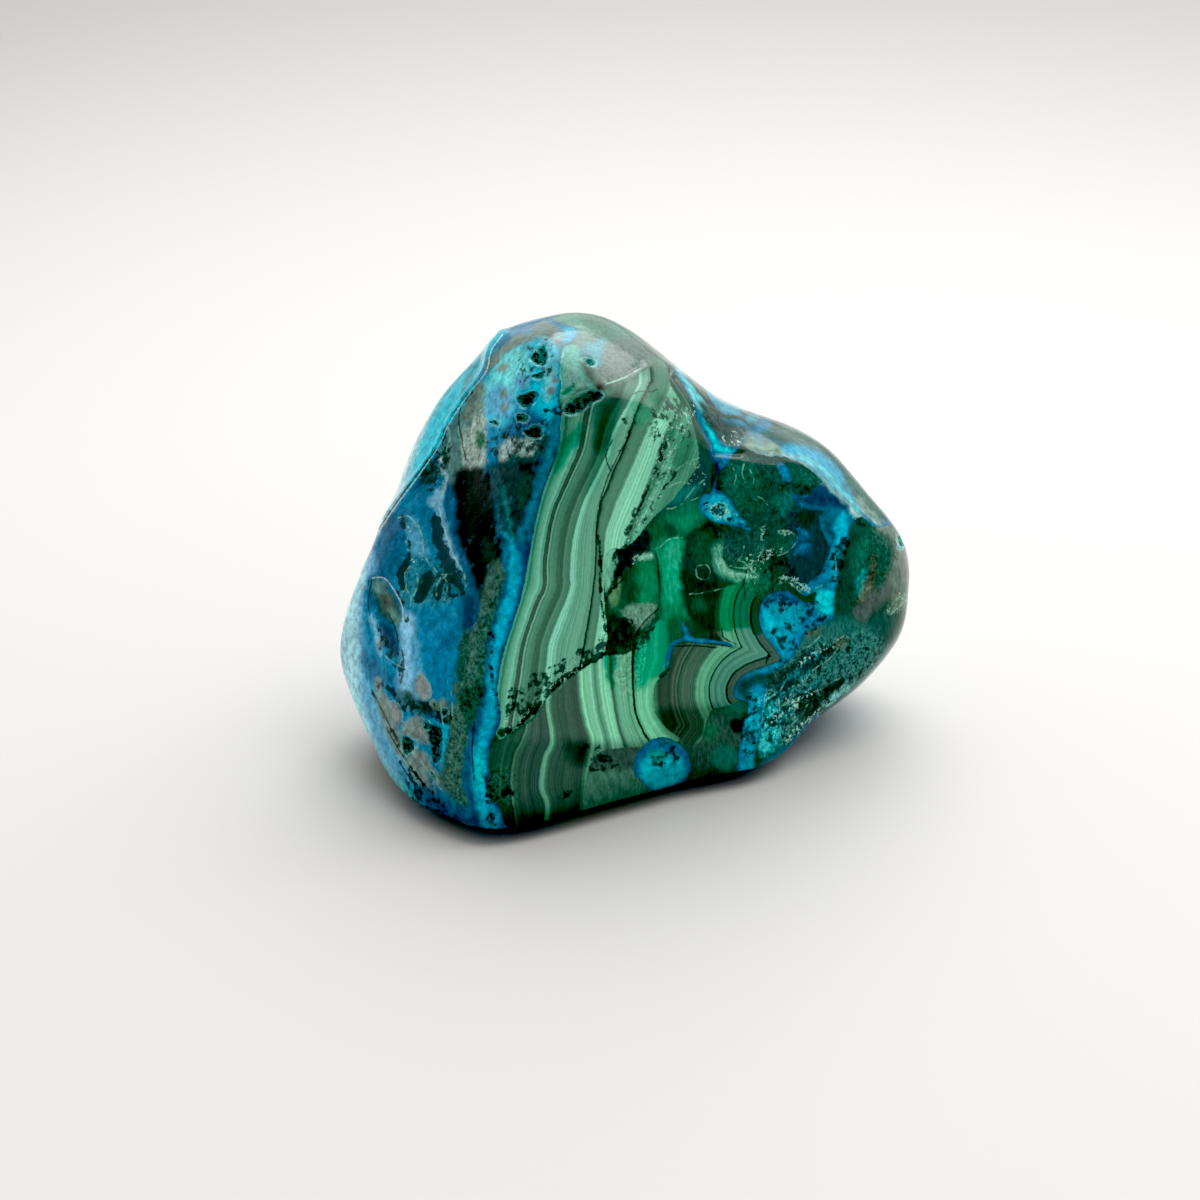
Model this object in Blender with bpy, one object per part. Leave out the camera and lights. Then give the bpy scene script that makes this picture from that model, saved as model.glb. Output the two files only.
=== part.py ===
"""Chrysocolla and malachite specimen: one polished freeform stone on a flat sawn base.

The stone is one closed solid.  Its form starts as a block bounded by flat cut faces
whose corners are tumbled round.  Named points on the surface then pull the faces into
the real hollows, shoulders and nose, and the base is sawn flat at Z = 0.

Millimetres are used for the design and metres for the mesh.  X runs along the stone,
Y from the polished front to the back, Z up.  The origin is the middle of the base box.
"""
import bmesh
import bpy
import numpy as np

MM = 0.001

# Driving dimensions, in millimetres
STONE_WIDTH = 92.5
STONE_DEPTH = 62.5
STONE_HEIGHT = 71.0

TUMBLED_SHARPNESS = 16.0    # higher makes the corners between the cut faces tighter
SURFACE_SLACK = 0.008       # how far the surface may pass a named point, to stay smooth
CELLS_PER_SIDE = 24         # cells along each side of the six patches of the surface

# A point well inside the stone, from which every part of the surface is seen
HEART = (2.0, 9.0, 30.0)

# The cut faces: name, a point on the face, and the direction it looks in
CUT_FACES = (
    ("front",         (-2.0, -15.6, 30.0), (0.42, -0.90, 0.13)),
    ("left flank",    (-31.0, -16.0, 20.0), (-0.70, -0.71, 0.08)),
    ("left shoulder", (-23.0, -3.0, 54.0), (-0.52, -0.58, 0.63)),
    ("back left",     (-35.0, 12.0, 46.0), (-0.82, 0.26, 0.50)),
    ("knob top",      (-8.0, 5.0, 73.0), (-0.05, -0.12, 0.99)),
    ("right slope",   (20.0, 10.0, 52.0), (0.36, 0.15, 0.92)),
    ("lobe end",      (40.0, 14.0, 38.0), (0.75, 0.15, 0.65)),
    ("nose",          (46.5, 12.0, 28.0), (0.98, -0.15, 0.05)),
    ("under lobe",    (34.0, 2.0, 8.5), (0.55, -0.30, -0.78)),
    ("under right",   (36.0, 22.0, 8.0), (0.55, 0.45, -0.70)),
    ("under left",    (-38.0, 2.0, 3.0), (-0.62, 0.0, -0.78)),
    ("base",          (0.0, 0.0, -0.4), (0.0, 0.0, -1.0)),
    ("back",          (0.0, 30.0, 30.0), (0.04, 0.98, 0.16)),
    ("back right",    (32.0, 26.0, 25.0), (0.60, 0.78, 0.10)),
    ("back top",      (-4.0, 24.0, 62.0), (0.0, 0.72, 0.69)),
    ("back corner",   (-32.0, 22.0, 24.0), (-0.72, 0.69, 0.05)),
)

# Points that the polished surface passes through, in runs around the outline and the front
SURFACE_POINTS = {
    "left edge, top down": (
        (-20.0, 19.0, 64.5), (-24.5, 18.0, 61.5), (-29.5, 17.0, 57.5), (-32.5, 16.0, 52.0),
        (-35.0, 14.0, 47.0), (-37.5, 11.0, 41.5), (-39.5, 7.0, 35.5), (-43.0, 3.0, 29.5),
        (-44.5, 0.0, 23.5), (-44.5, -2.0, 18.5), (-44.5, -4.0, 13.0), (-43.0, -8.0, 8.0),
        (-39.5, -13.0, 3.0), (-39.0, -4.0, 3.0), (-35.0, -17.0, 0.5)),
    "left ridge, top down": (
        (-16.0, 15.0, 67.5), (-22.0, 11.5, 62.0), (-30.0, 7.0, 50.0), (-37.5, 3.0, 39.5)),
    "knob": (
        (-15.0, 16.0, 69.0), (-10.5, 15.0, 70.0), (-5.0, 15.0, 70.0), (-2.0, 14.0, 68.5),
        (2.0, 12.0, 65.5), (-4.5, -10.0, 67.0), (-20.0, -4.0, 58.5)),
    "top of the lobe": (
        (7.5, 13.0, 61.0), (12.5, 14.0, 57.0), (19.5, 16.0, 52.0), (27.0, 17.0, 48.5),
        (34.0, 17.0, 44.0), (38.0, 17.0, 38.5), (41.5, 16.0, 34.0)),
    "nose and overhang": (
        (44.0, 15.0, 33.0), (46.0, 13.0, 30.5), (46.0, 12.0, 24.5), (45.0, 11.0, 20.5),
        (44.5, 10.0, 17.0), (42.5, 9.0, 12.5), (39.0, 6.0, 8.5), (35.0, 3.0, 8.0),
        (31.0, 0.0, 6.5), (26.5, -4.0, 3.5), (21.0, -8.0, 1.0)),
    "foot of the front": (
        (10.0, -14.0, 0.5), (0.5, -19.0, 0.0), (-12.5, -25.0, 0.0), (-19.5, -27.0, 0.5),
        (-25.5, -25.0, 0.5), (-32.0, -20.0, 0.5)),
    "fold between knob and lobe": (
        (9.5, 5.0, 62.0), (13.0, 1.0, 54.5), (14.0, -2.0, 50.0)),
    "rim of the lobe": (
        (17.5, 4.0, 52.0), (25.0, 6.0, 50.5), (32.0, 8.0, 44.5), (37.5, 10.0, 38.0)),
    "bowl in the lobe": (
        (21.0, -0.5, 42.5), (27.0, 1.5, 34.5), (34.0, 3.5, 25.5)),
    "front": (
        (-10.5, -18.5, 36.5), (4.5, -10.5, 39.5), (1.5, -10.0, 52.5), (11.0, -11.5, 15.5),
        (17.5, -4.5, 29.5), (9.5, -9.5, 25.0), (-4.5, -19.5, 16.5)),
}

# Gentle swells and hollows elsewhere: name, direction from the heart, height
SWELLS = (
    ("back middle", (0.0, 1.0, 0.1), 0.8),
    ("back right", (0.7, 0.8, 0.15), -0.5),
    ("back left", (-0.75, 0.7, 0.2), 0.0),
    ("back low", (0.1, 0.9, -0.55), 0.5),
    ("back low left", (-0.6, 0.7, -0.45), -0.5),
    ("back low right", (0.6, 0.7, -0.4), 0.0),
    ("back high", (-0.15, 0.7, 0.75), 0.5),
    ("back saddle", (0.45, 0.7, 0.6), -1.5),
    ("left end", (-0.95, 0.3, 0.0), 0.5),
    ("left top", (-0.75, 0.4, 0.55), 0.0),
    ("base middle", (0.0, -0.1, -1.0), 0.0),
    ("base left", (-0.5, -0.2, -0.85), 0.0),
    ("base right", (0.35, 0.1, -0.9), 0.0),
    ("base back", (-0.1, 0.4, -0.9), 0.0),
    ("base front", (-0.35, -0.6, -0.75), 0.0),
)


def unit(vectors):
    """Vectors scaled to length one."""
    vectors = np.asarray(vectors, dtype=float)
    return vectors / np.linalg.norm(vectors, axis=-1, keepdims=True)


def tumbled_radius(directions):
    """Distance from the heart to the block of cut faces with its corners rounded."""
    nearness = np.zeros(len(directions))
    for _name, point, outward in CUT_FACES:
        outward = unit(outward)
        depth = np.dot(np.subtract(point, HEART), outward)
        nearness += np.clip(directions @ outward / depth, 0.0, None) ** TUMBLED_SHARPNESS
    return nearness ** (-1.0 / TUMBLED_SHARPNESS)


def reach(directions_a, directions_b):
    """Cubed distance between every pair of directions, the kernel of the smooth correction."""
    cosines = np.clip(directions_a @ directions_b.T, -1.0, 1.0)
    return np.sqrt(2.0 - 2.0 * cosines) ** 3


def smooth_correction():
    """Anchor directions and weights that pull the block to the named points and swells."""
    points = np.array([point for run in SURFACE_POINTS.values() for point in run])
    offsets = points - HEART
    distances = np.linalg.norm(offsets, axis=1)
    point_directions = offsets / distances[:, None]
    swell_directions = unit([direction for _name, direction, _height in SWELLS])
    anchors = np.concatenate([point_directions, swell_directions])
    pull = np.concatenate([distances - tumbled_radius(point_directions),
                           [height for _name, _direction, height in SWELLS]])
    count = len(anchors)
    system = np.zeros((count + 4, count + 4))
    system[:count, :count] = reach(anchors, anchors) + SURFACE_SLACK * np.eye(count)
    system[:count, count] = 1.0
    system[count, :count] = 1.0
    system[:count, count + 1:] = anchors
    system[count + 1:, :count] = anchors.T
    weights = np.linalg.solve(system, np.concatenate([pull, np.zeros(4)]))
    return anchors, weights


def stone_radius(directions):
    """Distance from the heart to the polished surface along each direction."""
    anchors, weights = smooth_correction()
    count = len(anchors)
    correction = (reach(directions, anchors) @ weights[:count] + weights[count]
                  + directions @ weights[count + 1:])
    return tumbled_radius(directions) + correction


def add_direction_sphere(mesh):
    """A unit sphere of six square patches, with cells of nearly equal size."""
    bmesh.ops.create_cube(mesh, size=2.0)
    bmesh.ops.subdivide_edges(mesh, edges=mesh.edges[:], cuts=CELLS_PER_SIDE - 1,
                              use_grid_fill=True)
    for vertex in mesh.verts:
        even = np.tan(np.array(vertex.co) * np.pi / 4.0)
        vertex.co = unit(even)


def saw_base_flat(mesh):
    """Cut the stone at Z = 0 and close the cut with one flat face."""
    geometry = mesh.verts[:] + mesh.edges[:] + mesh.faces[:]
    cut = bmesh.ops.bisect_plane(mesh, geom=geometry, plane_co=(0.0, 0.0, 0.0),
                                 plane_no=(0.0, 0.0, 1.0), clear_inner=True)
    rim = [item for item in cut["geom_cut"] if isinstance(item, bmesh.types.BMEdge)]
    bmesh.ops.contextual_create(mesh, geom=rim)


def fit_to_size(mesh):
    """Bring the stone to its driving dimensions, standing on the middle of its box."""
    places = np.array([vertex.co for vertex in mesh.verts])
    low = places.min(axis=0)
    high = places.max(axis=0)
    size = np.array((STONE_WIDTH, STONE_DEPTH, STONE_HEIGHT)) * MM
    middle = np.array(((low[0] + high[0]) / 2.0, (low[1] + high[1]) / 2.0, low[2]))
    stretch = size / (high - low)
    for vertex in mesh.verts:
        vertex.co = (np.array(vertex.co) - middle) * stretch


def stone_material():
    """Polished blue-green chrysocolla, taken as one average colour."""
    material = bpy.data.materials.new("polished_chrysocolla")
    material.use_nodes = True
    shader = material.node_tree.nodes["Principled BSDF"]
    shader.inputs["Base Color"].default_value = (0.02, 0.22, 0.27, 1.0)
    shader.inputs["Roughness"].default_value = 0.2
    shader.inputs["Metallic"].default_value = 0.0
    return material


def make_stone():
    """The whole specimen as one object."""
    mesh = bmesh.new()
    add_direction_sphere(mesh)
    directions = np.array([vertex.co for vertex in mesh.verts])
    radii = stone_radius(directions)
    for vertex, direction, radius in zip(mesh.verts, directions, radii):
        vertex.co = (np.array(HEART) + direction * radius) * MM
    saw_base_flat(mesh)
    fit_to_size(mesh)
    bmesh.ops.recalc_face_normals(mesh, faces=mesh.faces[:])
    data = bpy.data.meshes.new("stone")
    mesh.to_mesh(data)
    mesh.free()
    data.materials.append(stone_material())
    data.shade_smooth()
    data.set_sharp_from_angle(angle=np.radians(50.0))
    stone = bpy.data.objects.new("stone", data)
    bpy.context.collection.objects.link(stone)
    return stone


def main():
    for item in list(bpy.data.objects):
        bpy.data.objects.remove(item, do_unlink=True)
    make_stone()


main()
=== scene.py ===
"""Looks of the chrysocolla and malachite specimen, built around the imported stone."""

import bpy
import numpy as np
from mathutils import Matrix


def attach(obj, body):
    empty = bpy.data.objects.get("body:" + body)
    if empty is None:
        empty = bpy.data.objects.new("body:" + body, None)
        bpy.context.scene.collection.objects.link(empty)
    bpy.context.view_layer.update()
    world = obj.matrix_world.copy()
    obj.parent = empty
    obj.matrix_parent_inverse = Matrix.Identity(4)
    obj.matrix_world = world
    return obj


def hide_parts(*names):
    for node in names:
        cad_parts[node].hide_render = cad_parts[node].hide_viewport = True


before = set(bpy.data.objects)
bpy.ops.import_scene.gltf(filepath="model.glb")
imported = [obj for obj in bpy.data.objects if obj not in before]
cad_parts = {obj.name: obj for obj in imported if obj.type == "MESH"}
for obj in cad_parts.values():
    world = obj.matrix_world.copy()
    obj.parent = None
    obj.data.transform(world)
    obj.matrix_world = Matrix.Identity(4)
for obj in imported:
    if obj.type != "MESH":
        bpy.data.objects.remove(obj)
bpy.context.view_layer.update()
MM = 0.001

# ---------------------------------------------------------------- camera of the photograph
FRAME_PX = 1200.0
CAMERA_ELEVATION = np.radians(27.0)
CAMERA_DISTANCE = 450.0                       # mm from the aim point
CAMERA_LENS = 85.0
CAMERA_SENSOR = 36.0
CAMERA_AIM = np.array((-4.2, -3.4, 27.2))     # mm, the middle of the picture
BLACK_POINT = 0.050                           # light level that the photograph shows as black
FOCAL_PX = FRAME_PX * CAMERA_LENS / CAMERA_SENSOR

TOWARDS_CAMERA = np.array((0.0, -np.cos(CAMERA_ELEVATION), np.sin(CAMERA_ELEVATION)))
PICTURE_RIGHT = np.array((1.0, 0.0, 0.0))
PICTURE_UP = np.cross(TOWARDS_CAMERA, PICTURE_RIGHT)
CAMERA_PLACE = CAMERA_AIM + CAMERA_DISTANCE * TOWARDS_CAMERA

# ---------------------------------------------------------------- the polished surface
HEART = np.array((2.4, 5.6, 30.0))            # mm, the point that the surface is seen from
GRID_CELLS = 127        # cells along each side of six surface patches
FRONT_PULL = 0.66                             # below 1 packs the cells towards the front
BATCH = 4000                                  # directions worked out at a time, to save memory
FOOT_HEIGHT = 0.4                             # mm, CAD points lower than this belong to the base
FOOT_ROUNDING = 1.5                           # mm, worn edge between the base and the sides
BASE_CENTRE = np.array((-6.0, -1.0))          # mm, the spot that the stone rests on
BASE_REACH = np.array((28.0, 26.0))           # mm, half length and half width of the underside
BASE_LIFT = 2.3                               # mm, how far the underside rises towards its edge
BASE_RISE = (0.3, 1.1)                        # shares of the reach between which it rises
LEAST_DROP = 1e-3                             # smallest downward slant of a direction to the floor
FOOT_FLARE_HEIGHT = 6.0                       # mm, height over which the foot's swelling dies out
FOOT_FLARE_FRONT = (-0.3, 0.2)                # frontward share where it begins and where it is full
RIPPLES = ((0.05, 4.0, 11), (0.02, 1.5, 13))  # faint waves of the polish: mm high, mm wide, seed
VUG_WOBBLE = (1.6, 0.9)                       # ragged vug edges: pixels, and mm per wobble
VUG_FLOOR = (0.35, 0.7)                       # rough vug floors: share of the depth, mm per bump
VUG_SLOPE = (-0.8, 3.4)                       # px, where a vug begins and where it is fully deep
RELIEF_POWER = 1.5                            # how sharply ridges and valleys end at their middle
DETAIL_HEIGHT = (0.3, 2.5)                    # mm above the floor where the carving fades in
CARVED_FACING = (-0.15, 0.05)                 # carving fades in where faces turn to the camera
# How far the front foot swells out: a place along X and the swelling there, both in mm.
FOOT_FLARES = ((-46, -3.0), (-40, -1.5), (-32, 4.2), (-22, 5.3), (-12, 8.7), (-1, 4.2), (9, 1.8),
               (20, 6.2), (30, -0.3), (38, 0.7))

# ---------------------------------------------------------------- markings of the front
FAR_PX = 14.0                                 # further outside an outline nothing is painted
FAR_OFF_PX = 900.0                            # well outside the picture of the stone
CONTOUR_LEAN = 30.0                           # px that the contours lean left above their top
NO_FIELD = -60.0                              # field level of places far from a colour field
NO_MARK = -9.0                                # field level of places without a mark
CLOSED = 3.0                                  # field level of a patch that noise leaves no gap in
NOISE_GAIN = 1.6                              # brings the noise to between about -1 and 1
# Every place below is in the photograph's pixels, given on its 1200 pixel frame.
# Relief: a run of points, its half width in pixels and its height in millimetres.
RIDGE_LINE = ((503, 334), (491, 351), (486, 372), (468, 395), (449, 424), (438, 447),
              (417, 478), (395, 507), (377, 534), (365, 551), (358, 566))
LOBE_RIM = ((743, 449), (760, 453), (780, 456), (795, 461), (810, 469), (828, 486), (846, 502),
            (862, 517), (879, 531))
RAISED = (
    (RIDGE_LINE, 9, 0.75),
    (LOBE_RIM, 8, 0.35),
    (((603, 386), (622, 379), (648, 366)), 8, 0.3),
    (((424, 500), (438, 513), (446, 548), (455, 562)), 5, 0.15),
)
SUNK = (
    (((676, 374), (688, 391), (697, 408), (704, 422), (713, 438), (719, 450), (717, 470),
      (716, 488)), 8, 0.9),
    (((719, 450), (728, 452), (741, 452)), 7, 0.7),
    (((608, 381), (625, 375), (642, 364)), 4, 0.35),
    (((496, 737), (516, 727), (537, 706), (556, 684), (579, 669), (602, 654)), 5, 0.35),
    (((456, 404), (460, 430), (461, 450), (463, 467)), 3, 0.2),
    (((446, 425), (449, 446), (447, 470)), 3, 0.2),
    (((597, 536), (599, 560), (600, 590), (603, 620)), 4, 0.25),
    (((656, 561), (659, 582), (658, 607), (638, 631), (633, 652), (633, 680), (636, 714),
      (648, 739)), 2.5, 0.12),
)
# Vugs: an outline and a depth in millimetres.
VUGS = (
    (((529, 358), (536, 349), (543, 344), (547, 352), (547, 362), (541, 366), (534, 363)), 1.3),
    (((529, 375), (538, 372), (546, 367), (545, 375), (540, 380), (534, 378)), 0.5),
    (((515, 400), (519, 394), (528, 391), (535, 390), (538, 396), (533, 402), (529, 408),
      (521, 407)), 1.6),
    (((487, 422), (494, 419), (500, 421), (499, 425), (490, 424)), 0.5),
    (((514, 417), (521, 413), (528, 417), (526, 423), (517, 422)), 0.5),
    (((522, 431), (530, 428), (537, 424), (541, 430), (541, 437), (531, 439)), 1.2),
    (((564, 413), (566, 405), (578, 395), (592, 390), (601, 391), (602, 397), (589, 406),
      (581, 412), (570, 415)), 1.4),
    (((582, 357), (590, 358), (595, 361), (594, 366), (586, 364)), 0.9),
    (((421, 719), (430, 724), (441, 729), (441, 748), (437, 765), (431, 757), (428, 736),
      (423, 727)), 1.6),
    (((402, 735), (411, 739), (413, 748), (409, 754), (403, 750)), 1.4),
    (((413, 739), (418, 742), (417, 747), (413, 744)), 0.8),
    (((427, 769), (433, 773), (437, 783), (431, 781)), 0.9),
    (((404, 758), (409, 760), (411, 765), (406, 764)), 0.7),
    (((441, 708), (447, 709), (447, 716), (442, 716)), 0.7),
    (((898, 535), (903, 538), (905, 546), (900, 549), (897, 542)), 0.4),
)

# ---------------------------------------------------------------- colours as the photograph shows them
SEEN_GAIN = 0.56                              # light on the front, next to a white sheet's 1.0
SEEN_LIFT = 0.014                             # light that the black point takes off the darks
DARKEST, LIGHTEST = 0.0015, 0.9               # limits of a base colour
PAINTED_FACING = (-0.20, 0.05)                # the front's colours fade in on faces like these
TOP_GAIN = 1.1                                # how much more light faces get that look up
TOP_FACING = (0.3, 0.9)                       # upward share where that begins and where it is full
RIGHT_GAIN = 0.3                              # how much more light faces get that look right
RIGHT_FACING = (0.5, 0.9)                     # rightward share where it begins and where it is full
FOOT_SHADE_GAIN = 0.9                               # painted shade near the floor: the foot's colours are divided by one plus this
FOOT_SHADE_RISE = (9.0, 0.0)                        # mm of height where that begins and where it is full
FOOT_SHADE_ACROSS = (18.0, 6.0)                     # mm along X where it begins and where it is full
DRIFT_CELL = 1.6                              # mm, size of the wobbles of painted edges
RAGGED_PX = 2.2                               # px that ragged edges wobble by
WAVY_PX = 0.5                                 # px that fine edges and lines wobble by
BARE_GRAIN = 0.07                             # strength of the grain on smooth malachite
GRAIN_FADE = 4.0                              # px over which grainy ground begins
MINT = (92, 156, 130)
SAGE = (84, 126, 108)
DEEP_GREEN = (8, 60, 42)
BLACK_GREEN = (6, 46, 36)
PITCH = (-26, -4, -12)                        # below the black point of the photograph
FOREST = (0, 78, 50)
EMERALD = (2, 112, 76)
DARK_TEAL = (2, 58, 56)
TEAL = (0, 96, 90)
CYAN = (0, 150, 176)
BRIGHT_CYAN = (8, 178, 198)
AZURE = (0, 108, 140)
BLUE = (0, 82, 114)
NAVY = (0, 54, 80)
SKY = (84, 184, 220)
LAVENDER = (66, 138, 168)
# Pale blue of the painted reflections along the left silhouette, on the ridge shoulder and beyond the
# ridge
ICE_SHEEN = (132, 178, 204)
BEIGE = (106, 118, 118)
SAND = (90, 114, 104)
OLIVE = (54, 90, 78)
OLIVE_GREY = (84, 110, 100)
ASH = (98, 120, 114)
BROWN = (60, 64, 56)
SKY_BLUE = (4, 104, 138)
TEAL_BLUE = (20, 104, 122)
TEAL_GREY = (72, 112, 110)
# HAZE also paints the reflection along the left silhouette.
HAZE = (106, 160, 188)
# Pale grey of the painted sheen on the ridge shoulder
PALE_SHEEN_GREY = (126, 146, 138)
# Colours of the marks
RING_GREEN = (40, 112, 74)
WISP_GREEN = (66, 140, 122)
CRACK_BLACK = (3, 26, 20)
CRUMB_BLACK = (2, 28, 24)
VUG_RIM = (120, 190, 186)
# Vug floors: their own dark, deepened as painted shade of the hollows
VUG_SHADE_BLACK = (1, 20, 18)
VUG_CRUST = (44, 116, 104)
CHALK_GREEN = (140, 196, 172)
FINE_LINE = (116, 178, 156)
# Painted highlight: colour of the glints along the ridge's crest
RIDGE_GLINT = (172, 204, 188)

# ---------------------------------------------------------------- malachite bands
# Three fields: A beside the blue vein, B under the fracture, W the waves round the big blue patch.
# BANDS: the level in pixels across the bands, then the line it follows. ZONE: the field's outline.
# STOPS: the colour at each level, with a smooth change between them.
VEIN_EDGE = ((552, 466), (542, 495), (536, 519), (531, 543), (527, 568), (523, 589), (514, 620),
             (504, 650), (498, 679))
BANDS_A = (
    (0.0, ((566, 380), (563, 400), (559, 442), *VEIN_EDGE, (496, 700), (495, 740))),
    (15.5, ((600, 386), (590, 402), (584, 434), (580, 452), (572, 470), (563, 490), (554, 511),
            (549, 533), (545, 561), (544.5, 586), (535, 608), (523, 645), (516, 690), (508, 735))),
    (40.0, ((640, 383), (628, 405), (613, 432), (606, 456), (595, 479), (584, 501), (577, 523),
            (572, 547), (570, 575), (570, 589), (558, 619), (549, 643), (546, 668), (538, 720))),
    (64.5, ((650, 380), (637, 407), (627, 438), (620, 456), (613, 470), (606, 490), (601, 501),
            (598, 519), (596, 535), (595, 570), (590, 610), (583, 650), (574, 700))),
    (74.0, ((672, 385), (660, 412), (648, 431), (636, 459), (624, 487), (615, 507), (606, 535),
            (603, 570), (600, 610), (594, 650), (586, 700))),
    (96.0, ((684, 390), (672, 418), (662, 437), (654, 463), (644, 490), (633, 518), (626, 535),
            (620, 570), (614, 610), (606, 650), (598, 700))),
    (116.0, ((700, 400), (692, 424), (682, 446), (672, 474), (660, 500), (648, 522), (640, 545),
             (636, 570), (630, 610), (622, 650), (612, 700))),
)
ZONE_A = ((560, 413), (570, 414), (584, 409), (594, 398), (604, 390), (620, 384), (648, 369),
          (656, 360), (664, 360), (668, 374), (674, 392), (688, 412), (696, 436), (699, 460),
          (690, 477), (672, 500), (652, 519), (640, 534), (626, 548), (612, 549), (604, 560),
          (604, 600), (607, 636), (602, 655), (579, 669), (558, 684), (545, 700), (533, 718),
          (516, 729), (497, 738), (496, 700), *VEIN_EDGE[::-1], (559, 442))
STOPS_A = (
    (0.0, (86, 156, 140)), (1.8, (92, 158, 136)), (2.6, (48, 112, 90)), (3.4, (60, 126, 100)),
    (4.4, (86, 148, 124)), (9.0, (100, 164, 140)), (13.2, (94, 154, 132)), (14.0, (62, 88, 76)),
    (17.2, (54, 80, 68)), (18.0, (116, 176, 150)), (19.6, (78, 128, 108)), (24.0, (74, 120, 101)),
    (29.5, (64, 102, 85)), (31.5, (50, 84, 68)), (33.5, (70, 114, 95)), (39.0, (72, 120, 99)),
    (40.2, (114, 186, 158)), (43.0, (120, 192, 164)), (46.0, (94, 156, 131)),
    (51.0, (84, 138, 117)), (58.0, (93, 148, 125)), (63.6, (86, 136, 114)), (64.2, (22, 50, 40)),
    (65.4, (26, 56, 44)), (66.4, (72, 118, 98)), (73.0, (64, 110, 90)), (74.5, (116, 182, 154)),
    (95.0, (114, 184, 155)), (98.0, (56, 108, 86)), (104.0, (60, 118, 94)),
    (106.0, (88, 158, 130)), (118.0, (62, 124, 100)),
)
BANDS_B = (
    (0.0, ((500, 640), (497, 700), (495, 738), (491, 760), (489, 790), (498, 812), (503, 840))),
    (20.0, ((528, 640), (529, 700), (525, 732), (515, 753), (511, 774), (512, 802), (518, 840))),
    (50.0, ((548, 640), (547, 690), (546, 707), (550, 732), (550, 744), (544, 756), (540, 779),
            (541, 793), (546, 805), (544, 840))),
    (84.0, ((578, 640), (579, 676), (581, 700), (586, 725), (591, 741), (586, 770), (580, 840))),
    (117.0, ((613, 640), (614, 676), (617, 700), (622, 728), (628, 745), (634, 780), (640, 840))),
    (134.0, ((636, 632), (633, 652), (633, 680), (636, 714), (648, 739), (664, 760), (680, 800))),
    (158.0, ((668, 640), (668, 662), (658, 681), (654, 697), (656, 711), (666, 727), (680, 738),
             (720, 790))),
)
ZONE_B = ((497, 738), (516, 730), (533, 719), (545, 701), (558, 686), (579, 671), (604, 656),
          (622, 655), (636, 648), (652, 628), (662, 620), (672, 640), (670, 660), (668, 672),
          (657, 682), (653, 697), (655, 712), (666, 728), (680, 740), (654, 746), (620, 748),
          (600, 752), (588, 770), (582, 800), (560, 836), (502, 840), (496, 815), (486, 798),
          (488, 768), (491, 750))
STOPS_B = (
    (0.0, (52, 86, 70)), (12.0, (50, 88, 72)), (19.5, (48, 80, 68)), (20.5, (78, 122, 100)),
    (22.5, (60, 98, 82)), (30.0, (60, 86, 76)), (48.5, (56, 84, 74)), (50.0, (96, 156, 128)),
    (52.5, (92, 150, 124)), (55.0, (58, 88, 75)), (80.0, (56, 80, 70)), (83.5, (70, 112, 92)),
    (85.0, (116, 186, 152)), (90.0, (104, 172, 138)), (95.0, (118, 190, 156)),
    (98.0, (76, 132, 106)), (101.5, (80, 140, 112)), (103.0, (118, 188, 154)),
    (111.0, (110, 182, 148)), (114.0, (50, 84, 68)), (118.0, (88, 150, 122)),
    (124.0, (104, 168, 138)), (128.0, (76, 134, 106)), (132.6, (90, 156, 124)),
    (133.4, (10, 38, 28)), (134.6, (12, 42, 32)), (135.6, (92, 162, 128)),
    (150.0, (100, 176, 140)), (156.0, (84, 156, 122)), (160.0, (52, 90, 74)),
    (175.0, (42, 66, 56)),
)
# The wave bands keep their distance from the blue that they grew on.
BLUE_SHORE = ((762, 602), (759, 612), (760, 625), (765, 636), (772, 645), (781, 657))
WAVE_SHORE = ((786, 588), (770, 594), *BLUE_SHORE, (778, 662), (766, 666), (752, 671), (741, 678),
              (735, 688), (736, 697), (744, 701), (748, 706), (746, 716), (743, 724), (742, 740),
              (739, 752), (739, 775), (900, 775), (900, 588))
ZONE_W = ((724, 588), (752, 584), (757, 598), (764, 600), (762, 612), (764, 632), (782, 654),
          (782, 662), (768, 668), (752, 675), (742, 690), (738, 701), (726, 706), (712, 710),
          (706, 722), (700, 742), (684, 744), (680, 738), (666, 728), (655, 712), (653, 697),
          (657, 682), (668, 672), (669, 656), (674, 646), (684, 643), (697, 643), (716, 645),
          (735, 648), (722, 640), (716, 628), (716, 606))
STOPS_W = (
    (0.0, (40, 58, 50)), (1.5, (58, 84, 74)), (6.5, (54, 82, 70)), (7.6, (12, 34, 28)),
    (8.8, (18, 48, 40)), (9.8, (60, 112, 96)), (15.0, (70, 124, 106)), (20.0, (64, 116, 98)),
    (24.4, (70, 126, 106)), (25.0, (16, 50, 38)), (26.0, (20, 56, 42)), (26.8, (86, 152, 120)),
    (30.0, (68, 130, 100)), (32.0, (88, 152, 120)), (35.0, (70, 130, 102)),
    (38.0, (94, 158, 126)), (41.0, (52, 90, 72)), (46.0, (62, 92, 76)), (53.0, (58, 86, 70)),
    (57.0, (36, 64, 52)), (58.5, (68, 96, 80)), (60.0, (38, 66, 54)), (62.0, (68, 92, 76)),
    (65.0, (44, 66, 54)), (76.0, (40, 62, 50)), (80.0, (56, 108, 82)), (84.0, (80, 146, 114)),
    (100.0, (74, 136, 106)),
)
ORB_HEART = (703.0, 571.5)
ORB_STRETCH = 0.36                            # below 1 draws the orb's rings out upwards
ZONE_ORB = ((694, 562), (690, 548), (696, 536), (706, 528), (716, 527), (721, 536), (719, 550),
            (714, 564), (704, 566))

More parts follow.
